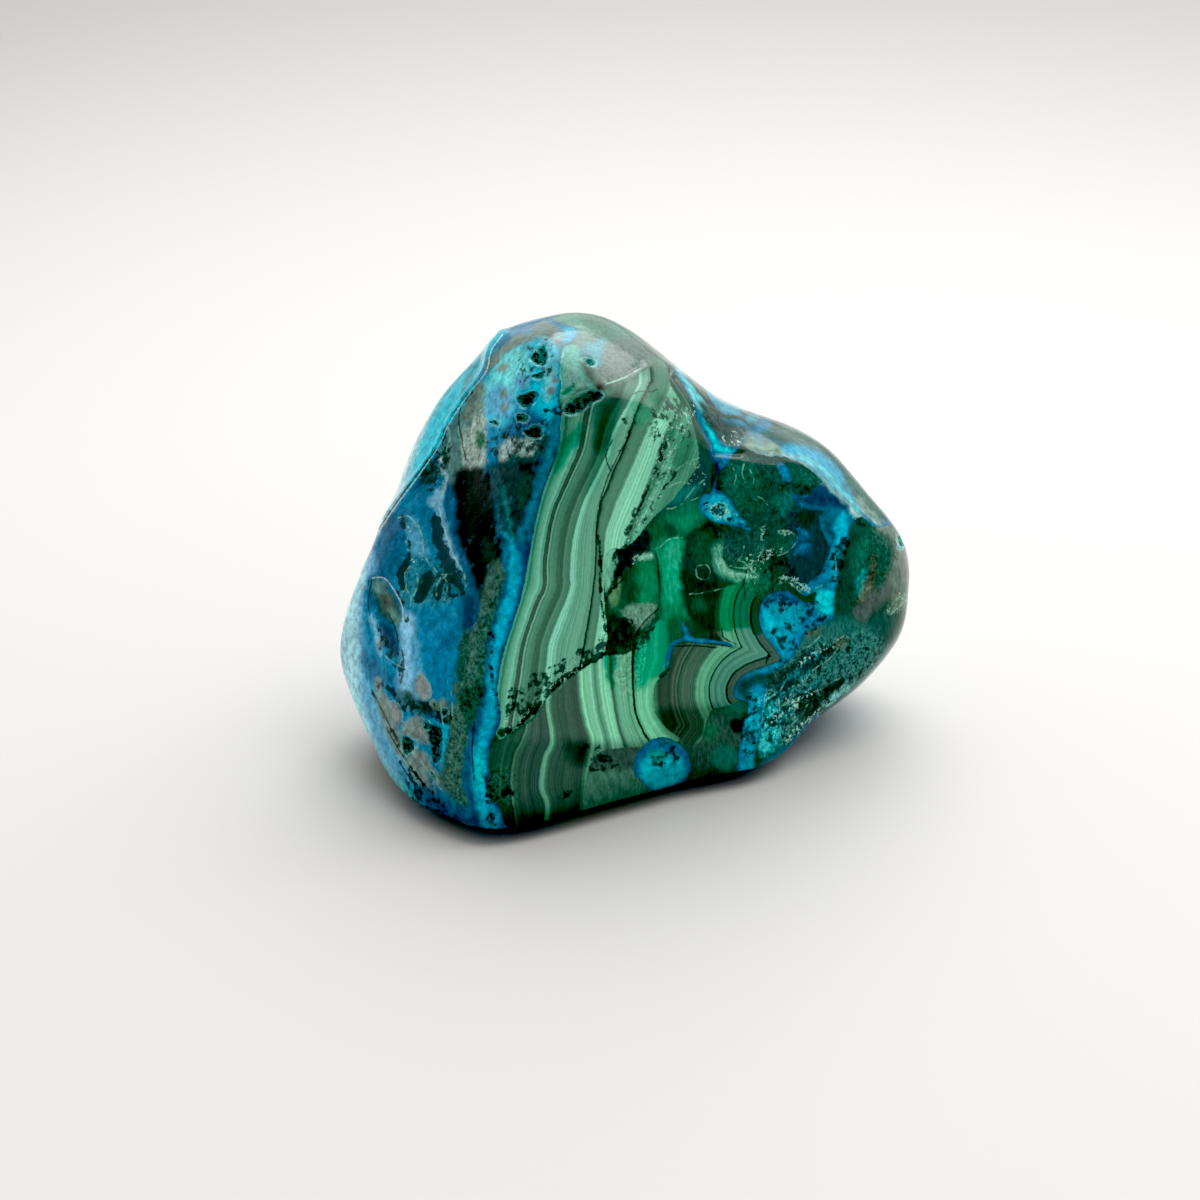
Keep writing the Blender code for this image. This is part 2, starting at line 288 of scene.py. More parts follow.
# ---------------------------------------------------------------- where the blue chrysocolla lies
FOOT_CORNER = ((838, 735), (850, 722), (870, 706), (890, 700), (880, 725), (850, 745))
BLUE_OUTLINES = (
    # everything left of the first malachite field
    ((520, 200), (548, 308), (566, 324), (578, 330), (574, 340), (565, 345), (561, 352), (560, 370),
     (561, 388), (558, 400), (561, 414), (559, 440), *VEIN_EDGE, (498, 700), (501, 718), (496, 732),
     (492, 741), (489, 756), (489, 780), (487, 796), (499, 806), (503, 822), (506, 850), (300, 900),
     (200, 600), (400, 250)),
    # the pear, its stem and the valley
    ((716, 489), (722, 491), (727, 495), (733, 503), (738, 513), (747, 524), (751, 531), (744, 529),
     (736, 526), (723, 524), (709, 520), (701, 512), (699, 503), (704, 495), (712, 491), (715.5, 470),
     (710, 456), (705, 438), (698, 420), (692, 402), (682, 383), (674, 370), (680, 368), (690, 381),
     (701, 396), (712, 410), (722, 418), (740, 420), (752, 430), (744, 440), (737, 449), (732, 456),
     (725, 467), (718.5, 473)),
    # the slope above the lobe
    ((690, 355), (701, 380), (712, 402), (724, 414), (742, 417), (752, 430), (744, 438), (748, 449),
     (766, 456), (780, 456), (795, 460), (810, 469), (828, 486), (846, 502), (862, 517), (878, 528),
     (900, 520), (960, 500), (960, 300)),
    # navy, azure and the streak that runs down from the rim
    ((790, 494), (806, 495), (815, 489), (822, 483), (832, 486), (850, 500), (860, 514), (853, 522),
     (849, 534), (846, 545), (842, 560), (839, 575), (836, 590), (834, 603), (831, 615), (821, 616),
     (814, 604), (817, 591), (806, 596), (800, 590), (812, 580), (820, 574), (825, 562), (830, 548),
     (824, 536), (820, 526), (820, 516), (828, 511), (814, 510), (800, 506)),
    # the big blue patch and the vein below it
    ((770, 594), (786, 591), (797, 597), (806, 603), (816, 601), (822, 612), (834, 608), (831, 620),
     (812, 628), (806, 633), (799, 646), (791, 658), (780, 668), (764, 676), (768, 682), (764, 698),
     (762, 716), (760, 736), (755, 752), (752, 790), (737, 790), (739, 752), (742, 739), (744, 722),
     (749, 707), (745, 701), (735, 698), (734, 688), (741, 678), (752, 671), (766, 666), (779, 661),
     *BLUE_SHORE[::-1]),
    # islands in the green
    ((776, 462), (783, 463), (789, 470), (792, 480), (785, 482), (779, 473)),
    ((797, 528), (806, 530), (809, 537), (801, 536)),
    ((793, 556), (797, 547), (806, 542), (811, 546), (802, 551)),
    ((682, 622), (687, 628), (691, 636), (699, 638), (712, 640), (726, 642), (738, 647.5), (726, 645),
     (712, 643), (697, 643), (685, 641), (676, 644), (672, 650), (668.5, 662), (665.5, 672),
     (665, 660), (669, 646), (676, 640), (684, 636), (683, 629)),
    ((633, 772), (636, 757), (645, 744), (660, 737), (675, 741), (687, 753), (691, 766), (688, 776),
     (680, 788), (662, 800), (650, 790), (640, 779)),
    FOOT_CORNER,
)

# ---------------------------------------------------------------- the sides that aren't shown
HIDDEN_TONE = 0.8                             # lowers their colours: they get more light
HIDDEN_SHIFT = (0.0, 6.0, 0.0)                # mm, places the big blue regions
HIDDEN_BLUE = (24.0, 31)                      # mm per blue region, seed
HIDDEN_SHORES = ((0.22, 7.0, 37), (0.05, 2.5, 41))    # their ragged shores: share, mm, seed
HIDDEN_REACH = 75.0                           # px that a noise level of 1 stands for
HIDDEN_BAND_START = 9.0                       # px of bands that the shore cuts off
# Clouds of colour: the colour, mm per cloud, seed, noise where it begins and where it is full.
HIDDEN_OVER = (
    (NAVY, 7.0, 37, -0.1, 0.5),
    (CYAN, 7.0, 37, -0.1, -0.6),
    (LAVENDER, 9.0, 43, 0.35, 0.8),
    (DARK_TEAL, 5.0, 47, 0.4, 0.75),
    (SAND, 3.0, 53, 0.72, 0.86),
)
HIDDEN_UNDER = (
    (FOREST, 7.0, 37, -0.2, 0.4),
    (EMERALD, 2.5, 41, 0.3, 0.7),
    (BLACK_GREEN, 8.0, 59, 0.1, 0.5),
    (OLIVE, 4.0, 61, 0.45, 0.8),
)
# Marks: the field, px per noise level, noise level where it begins, mm per mark, seed.
HIDDEN_MARKS = (
    ("zone_w", 40.0, -0.35, 18.0, 67),
    ("dark", 7.0, 0.62, 4.5, 71),
    ("pale", 7.0, 0.75, 4.0, 73),
)
HIDDEN_GRAIN = (0.6, 0.2, 0.7, 9.0, 79)       # strength, noise from and to, mm per area, seed


# ---------------------------------------------------------------- picture and outlines
def unit(vectors):
    """Vectors scaled to length one."""
    vectors = np.asarray(vectors, dtype=float)
    return vectors / np.linalg.norm(vectors, axis=-1, keepdims=True)


def project(points):
    """Pixel coordinates of points, in the photograph's 1200 pixel frame."""
    rays = points - CAMERA_PLACE
    depth = -(rays @ TOWARDS_CAMERA)
    across = FRAME_PX / 2.0 + FOCAL_PX * (rays @ PICTURE_RIGHT) / depth
    down = FRAME_PX / 2.0 - FOCAL_PX * (rays @ PICTURE_UP) / depth
    return np.stack((across, down), axis=1)


def oval(across, down, half_width, half_height, tilt):
    """Outline of an ellipse in the picture; the tilt in degrees turns its top to the right."""
    turn = np.radians(tilt)
    outline = []
    for angle in np.arange(8) * np.pi / 4.0:
        right = half_width * np.cos(angle)
        up = half_height * np.sin(angle)
        outline.append((across + right * np.cos(turn) + up * np.sin(turn),
                        down + right * np.sin(turn) - up * np.cos(turn)))
    return outline


def streak(half_width, *run):
    """Outline of a brush stroke along a run, pointed at both ends."""
    run = np.array(run, dtype=float)
    along = unit(np.gradient(run, axis=0))
    side = half_width * np.stack((-along[:, 1], along[:, 0]), axis=1)
    first = run[:1] - along[:1] * half_width
    last = run[-1:] + along[-1:] * half_width
    return np.vstack((first, run + side, last, (run - side)[::-1]))


# ---------------------------------------------------------------- painted patches
# Each entry: colour, how far its edge fades in pixels, outline. Later patches lie over earlier
# ones. OVER is the blue chrysocolla, UNDER the green ground around and below it.
OVER_PATCHES = (
    # left flank
    (AZURE, 8, ((300, 480), (400, 460), (470, 400), (470, 640), (460, 860), (300, 860))),
    (BLUE, 10, oval(388, 556, 15, 46, 20)),
    (BLUE, 8, oval(426, 470, 14, 24, 30)),
    (BLUE, 6, streak(7, (451, 482), (454, 520), (462, 556), (470, 580))),
    (NAVY, 7, oval(470, 612, 10, 22, 8)),
    (NAVY, 5, oval(390, 638, 8, 20, -22)),
    (NAVY, 6, oval(384, 520, 7, 12, 20)),
    (SKY_BLUE, 9, oval(440, 652, 13, 46, 0)),
    (SKY_BLUE, 5, oval(446, 690, 9, 14, 0)),
    (BLUE, 6, oval(450, 640, 6, 10, 30)),
    # painted reflection: pale sheen of the light along the left silhouette, in the first four streaks
    # below
    (HAZE, 7, streak(9, (366, 560), (354, 590), (352, 640), (355, 690), (368, 740), (392, 784))),
    (ICE_SHEEN, 6, streak(7, (360, 570), (351, 600), (350, 640), (352, 690), (364, 734))),
    (LAVENDER, 6, streak(7, (366, 690), (380, 724), (400, 762), (428, 794))),
    (SKY, 6, streak(4, (352, 700), (366, 742), (392, 780), (420, 806))),
    (BLUE, 7, streak(6, (368, 660), (380, 676), (398, 682), (402, 700))),
    (SAND, 6, oval(362, 738, 3, 14, -25)),
    # lavender streaks
    (LAVENDER, 5, oval(418, 548, 9, 32, -14)),
    (HAZE, 3, streak(3.5, (437, 494), (441, 512), (446, 534), (451, 552), (457, 567))),
    (HAZE, 3, oval(436, 500, 6, 9, 30)),
    (HAZE, 5, streak(7, (407, 620), (408, 650), (406, 684), (410, 702))),
    (LAVENDER, 4, streak(4, (414, 640), (417, 662), (420, 680))),
    (HAZE, 3, streak(2, (371, 616), (376, 632), (380, 652))),
    # rough ground between the streaks
    (TEAL_BLUE, 5, ((398, 566), (412, 556), (440, 562), (462, 572), (466, 588), (450, 602), (424, 606),
                    (404, 600))),
    (DARK_TEAL, 3, oval(424, 586, 8, 12, 10)),
    (DARK_TEAL, 3, oval(446, 580, 10, 6, 10)),
    (TEAL_BLUE, 2, oval(413, 578, 5, 12, 5)),
    (TEAL_BLUE, 2, oval(404, 602, 4.5, 8, 10)),
    # oval inclusion
    (BLUE, 2, oval(384, 602, 13, 29, -28)),
    ((20, 66, 62), 3, oval(386, 603, 10, 26, -28)),
    (TEAL_GREY, 4, oval(379, 588, 7, 11, -20)),
    ((52, 72, 66), 4, oval(389, 606, 6, 14, -28)),
    ((70, 118, 106), 4, oval(395, 617, 4, 11, -24)),
    # beige grains
    (BEIGE, 1.4, oval(422.5, 687, 8, 13, -12)),
    (BEIGE, 1.4, oval(394.5, 714, 6, 13, -12)),
    (SAND, 1.5, oval(380.7, 642.8, 3.5, 5, 0)),
    (ASH, 2, oval(379, 688, 3, 12, -12)),
    (ASH, 4, streak(6, (382, 700), (390, 728), (404, 754), (420, 776), (436, 800))),
    ((28, 74, 68), 4, streak(6, (404, 696), (420, 708), (440, 708), (450, 720))),
    (ASH, 2, ((402, 728), (409, 719), (418, 716), (424, 720), (429, 730), (431, 742), (424, 745),
              (414, 738), (403, 736))),
    (BEIGE, 3, oval(421, 734, 5, 8, -20)),
    (ASH, 2, ((411, 751), (418, 748), (426, 754), (432, 766), (446, 784), (444, 790), (430, 776),
              (418, 766))),
    (BEIGE, 3, oval(422, 760, 4, 8, -35)),
    (CYAN, 2, oval(443, 745, 4.5, 20, 5)),
    (OLIVE_GREY, 4, oval(438, 704, 12, 5, 0)),
    (BLUE, 7, streak(8, (424, 794), (446, 808), (462, 822))),
    # ridge shoulder: its grey-green colours, and a painted sheen of the light in the pale grey patch
    (TEAL_GREY, 3, ((481, 381), (487, 384), (489, 400), (486, 452), (480, 470), (464, 474), (452, 486),
                    (446, 470), (438, 456), (450, 423), (468, 396))),
    (OLIVE_GREY, 3, oval(476, 402, 8, 22, 32)),
    (PALE_SHEEN_GREY, 4, ((487, 404), (488, 436), (486, 462), (476, 470), (465, 470), (462, 448), (464, 432),
                   (474, 420))),
    (FOREST, 2.5, oval(481, 440, 4, 9, 0)),
    (DARK_TEAL, 3, oval(430, 474, 9, 13, 35)),
    (FOREST, 2, oval(444, 464, 3.5, 14, 4)),
    (TEAL_GREY, 2, oval(453, 450, 3, 22, 4)),
    (ICE_SHEEN, 2, streak(1.5, (439, 452), (442, 466), (446, 480), (442, 492))),
    # the black green patch and its blue side
    (PITCH, 4, ((456, 472), (476, 467), (489, 470), (494, 492), (497, 520), (502, 548), (498, 569),
                (491, 579), (484, 599), (477, 597), (470, 569), (459, 541), (455, 506))),
    ((2, 34, 24), 6, oval(490, 556, 8, 20, -10)),
    # blue green V above the vein
    ((0, 38, 38), 5, ((490, 458), (506, 456), (536, 468), (534, 490), (524, 520), (514, 544),
                      (504, 544), (496, 510))),
    ((0, 56, 62), 4, streak(3, (494, 466), (501, 500), (507, 536))),
    ((0, 84, 96), 5, streak(5, (554, 420), (550, 450), (541, 482), (531, 520), (520, 550))),
    ((0, 112, 136), 4, streak(2, (556, 420), (550, 452), (536, 500), (521, 540))),
    (PITCH, 4, oval(526, 462, 14, 9, 5)),
    ((4, 54, 44), 4, oval(524, 488, 6, 18, 12)),
    (TEAL, 2, streak(1.8, (503, 490), (508, 516), (514, 544))),
    ((0, 128, 156), 3, streak(2.5, (505, 534), (510, 544), (513, 554), (512, 568))),
    # olive band
    (OLIVE, 4, ((500, 560), (506, 572), (505, 582), (496, 616), (489, 644), (485, 686), (480, 707),
                (471, 728), (466, 750), (463, 780), (470, 804), (456, 804), (440, 782), (447, 742),
                (449, 714), (455, 700), (451, 688), (459, 672), (460, 640), (474, 628), (480, 606),
                (488, 570))),
    ((24, 70, 56), 5, ((461, 636), (470, 632), (468, 660), (462, 680), (456, 672))),
    ((28, 66, 54), 4, ((462, 690), (484, 688), (482, 704), (470, 716), (460, 706))),
    ((24, 76, 60), 4, ((474, 704), (484, 700), (476, 724), (466, 732), (464, 716))),
    # the vein: deep edges, bright heart
    (BLUE, 3, ((512, 548), (532, 545), (527, 570), (523, 592), (511, 627), (504, 650), (499, 679),
               (499, 702), (502, 718), (496, 734), (490, 748), (489, 790), (500, 808), (504, 850),
               (480, 850), (468, 800), (463, 780), (465, 756), (471, 728), (480, 707), (485, 686),
               (489, 644), (496, 616), (506, 581))),
    (CYAN, 3, ((511, 540), (520, 560), (518, 590), (507, 626), (500, 650), (496, 686), (497, 708),
               (490, 734), (487, 752), (485, 780), (492, 804), (499, 822), (494, 834), (482, 826),
               (474, 796), (471, 770), (474, 744), (482, 722), (486, 700), (489, 660), (498, 622),
               (507, 590), (510, 562))),
    ((0, 160, 188), 2.5, ((512, 556), (515, 566), (512, 590), (503, 618), (498, 636), (499, 616),
                          (508, 590))),
    (BRIGHT_CYAN, 3, ((476, 756), (482, 752), (483, 776), (480, 792), (475, 780))),
    # knob
    ((0, 162, 194), 5, ((486, 384), (500, 356), (530, 340), (550, 338), (560, 352), (560, 390),
                        (556, 410), (540, 440), (520, 450), (500, 440), (487, 420))),
    (SKY, 6, ((490, 380), (508, 352), (526, 350), (530, 370), (516, 390), (502, 404), (490, 402))),
    (LAVENDER, 6, ((488, 392), (500, 384), (512, 392), (514, 410), (500, 420), (488, 412))),
    (BLUE, 6, ((518, 410), (534, 410), (545, 420), (540, 436), (520, 446), (504, 448), (500, 432))),
    (AZURE, 5, ((487, 426), (498, 426), (498, 446), (496, 462), (488, 458))),
    ((96, 178, 204), 5, ((540, 334), (556, 334), (554, 350), (557, 372), (552, 398), (544, 396),
                         (546, 372), (548, 348))),
    (CYAN, 3, ((560, 333), (572, 328), (577, 331), (573, 339), (565, 343))),
    (OLIVE_GREY, 3, ((497, 350), (515, 336), (530, 333), (536, 325), (547, 322), (559, 328),
                     (564, 337), (559, 347), (553, 340), (540, 336), (529, 342), (514, 348),
                     (505, 354), (494, 366), (487, 374), (486, 366))),
    ((76, 106, 98), 4, ((536, 328), (548, 325), (558, 331), (552, 336), (540, 334))),
    (DARK_TEAL, 4, ((496, 450), (512, 436), (544, 432), (546, 450), (530, 462), (500, 464))),
    ((128, 152, 150), 3, ((498, 456), (501, 446), (508, 438), (515, 442), (512, 452), (504, 460))),
    ((112, 140, 136), 3, ((515, 448), (520, 441), (530, 439), (537, 445), (534, 454), (522, 456))),
    (SAND, 3, ((496, 368), (504, 363), (508, 367), (500, 372))),
    (LAVENDER, 4, ((514, 377), (524, 374), (530, 380), (528, 388), (518, 388))),
    (BEIGE, 2, ((547, 390), (551, 386), (556, 389), (553, 394))),
    (BEIGE, 2, ((552, 374), (556, 372), (557, 381), (553, 384))),
    (SAND, 2, ((500, 392), (503, 389), (506, 394), (503, 400))),
    (SAND, 2, ((500, 406), (505, 403), (509, 407), (504, 411))),
    # beyond the ridge: painted reflection of the light on the far face, seen at a grazing angle, over
    # its own blue
    (ICE_SHEEN, 4, ((490, 340), (470, 362), (452, 388), (440, 412), (430, 438), (424, 458), (408, 484),
              (386, 520), (366, 549), (350, 560), (380, 480), (420, 400), (460, 340))),
    ((0, 168, 204), 4, ((505, 318), (505, 333), (491, 351), (468, 395), (449, 424), (438, 447),
                        (417, 478), (404, 492), (414, 462), (424, 434), (438, 404), (456, 374),
                        (478, 344))),
    ((20, 120, 132), 3, ((466, 378), (476, 362), (487, 350), (481, 362), (468, 386), (460, 404))),
    # valley, pear and lobe rim
    (AZURE, 5, ((708, 424), (716, 440), (735, 452), (722, 470), (710, 460), (706, 440))),
    (SKY, 3, ((676, 368), (688, 380), (700, 394), (706, 410), (700, 412), (690, 394))),
    (BRIGHT_CYAN, 3, ((704, 412), (712, 430), (722, 446), (736, 450), (722, 453), (712, 444),
                      (704, 428))),
    (NAVY, 3, ((702, 424), (709, 436), (714, 456), (719, 466), (717, 480), (711, 462), (706, 444))),
    ((0, 60, 50), 4, ((698, 401), (713, 406), (724, 419), (749, 430), (742, 440), (736, 447),
                      (727, 446), (714, 434), (705, 419))),
    # painted highlight along the silhouette of the slope above the lobe
    ((40, 140, 160), 4, ((696, 388), (713, 404), (724, 412), (742, 414), (748, 408), (712, 388))),
    (CYAN, 3, ((704, 504), (714, 494), (724, 496), (734, 508), (744, 524), (724, 521), (708, 516))),
    (SKY, 4, ((712, 504), (722, 504), (732, 514), (722, 518), (712, 514))),
    ((4, 74, 66), 6, ((742, 404), (770, 412), (800, 428), (830, 446), (850, 462), (880, 500),
                      (892, 520), (876, 520), (856, 500), (830, 470), (800, 452), (770, 440),
                      (750, 430))),
    (AZURE, 4, oval(762, 426, 9, 6, -30)),
    ((40, 130, 140), 3, oval(752, 418, 9, 4, -25)),
    ((50, 96, 84), 6, streak(6, (786, 430), (802, 438), (818, 448))),
    # painted highlight: pale olive band along the lobe's rim
    ((78, 118, 98), 3, ((743, 440), (749, 435), (761, 439), (777, 444), (786, 455), (766, 456),
                        (754, 452), (744, 449))),
    ((0, 140, 172), 4, streak(7, (790, 450), (812, 456), (830, 470), (844, 488), (856, 508))),
    ((70, 176, 196), 3, streak(2.5, (800, 456), (820, 468), (836, 484), (848, 498), (858, 512))),
    # painted highlight: pale mint line along the lobe's rim
    ((136, 196, 176), 2, streak(2.6, (745, 453), (768, 456), (786, 457), (804, 466), (822, 481),
                                (836, 494), (850, 508), (860, 518))),
    ((40, 92, 82), 5, streak(7, (850, 480), (862, 496), (874, 512))),
    # painted highlight along the fold between the lobe and the nose
    ((96, 128, 116), 3, streak(3, (858, 500), (868, 512), (880, 522))),
    # azure, cyan streak and the big blue patch
    ((0, 84, 104), 5, ((820, 519), (832, 512), (852, 514), (849, 532), (840, 548), (834, 560),
                       (834, 544), (824, 533))),
    (NAVY, 6, ((793, 495), (806, 495), (821, 483), (828, 487), (848, 505), (842, 510), (815, 507),
               (801, 503))),
    (CYAN, 4, oval(841, 523, 6, 11, 20)),
    (CYAN, 3, streak(5, (843, 528), (839, 548), (834, 566), (830, 584))),
    (AZURE, 5, ((812, 570), (830, 560), (830, 584), (818, 592), (806, 600), (800, 592))),
    ((4, 128, 148), 4, ((770, 596), (792, 598), (806, 605), (800, 622), (790, 640), (783, 660),
                        (766, 668), (752, 676), (742, 684), (752, 690), (762, 698), (760, 736),
                        (754, 790), (738, 790), (744, 740), (748, 706), (738, 696), (740, 682),
                        (768, 664), (782, 658), (770, 640), (762, 620))),
    (BLUE, 4, ((770, 594), (784, 591), (800, 600), (806, 604), (790, 604), (776, 602), (764, 608))),
    (BRIGHT_CYAN, 3, ((815, 591), (830, 591), (834, 601), (831, 614), (821, 615), (816, 604))),
    ((8, 152, 170), 3, ((764, 614), (772, 612), (778, 626), (784, 644), (776, 640), (768, 628))),
    (DARK_TEAL, 4, ((735, 688), (742, 680), (756, 674), (764, 680), (752, 688), (748, 700),
                    (738, 696))),
    (DARK_TEAL, 3, ((757, 676), (766, 674), (771, 682), (764, 688), (756, 684))),
    (CYAN, 3, ((745, 716), (749, 706), (752, 712), (748, 728), (744, 728))),
    # bottom blob
    (BLUE, 3, ((632, 772), (636, 757), (645, 744), (660, 737), (675, 741), (687, 753), (692, 768),
               (688, 778), (680, 788), (662, 802), (650, 790), (640, 779))),
    ((10, 146, 160), 5, ((638, 774), (646, 758), (660, 752), (678, 756), (686, 768), (680, 782),
                         (664, 794), (650, 788))),
    ((20, 120, 114), 4, oval(657, 756, 9, 7, 30)),
    ((20, 84, 84), 3, oval(670, 741, 12, 3, 0)),
    (AZURE, 4, FOOT_CORNER),
)
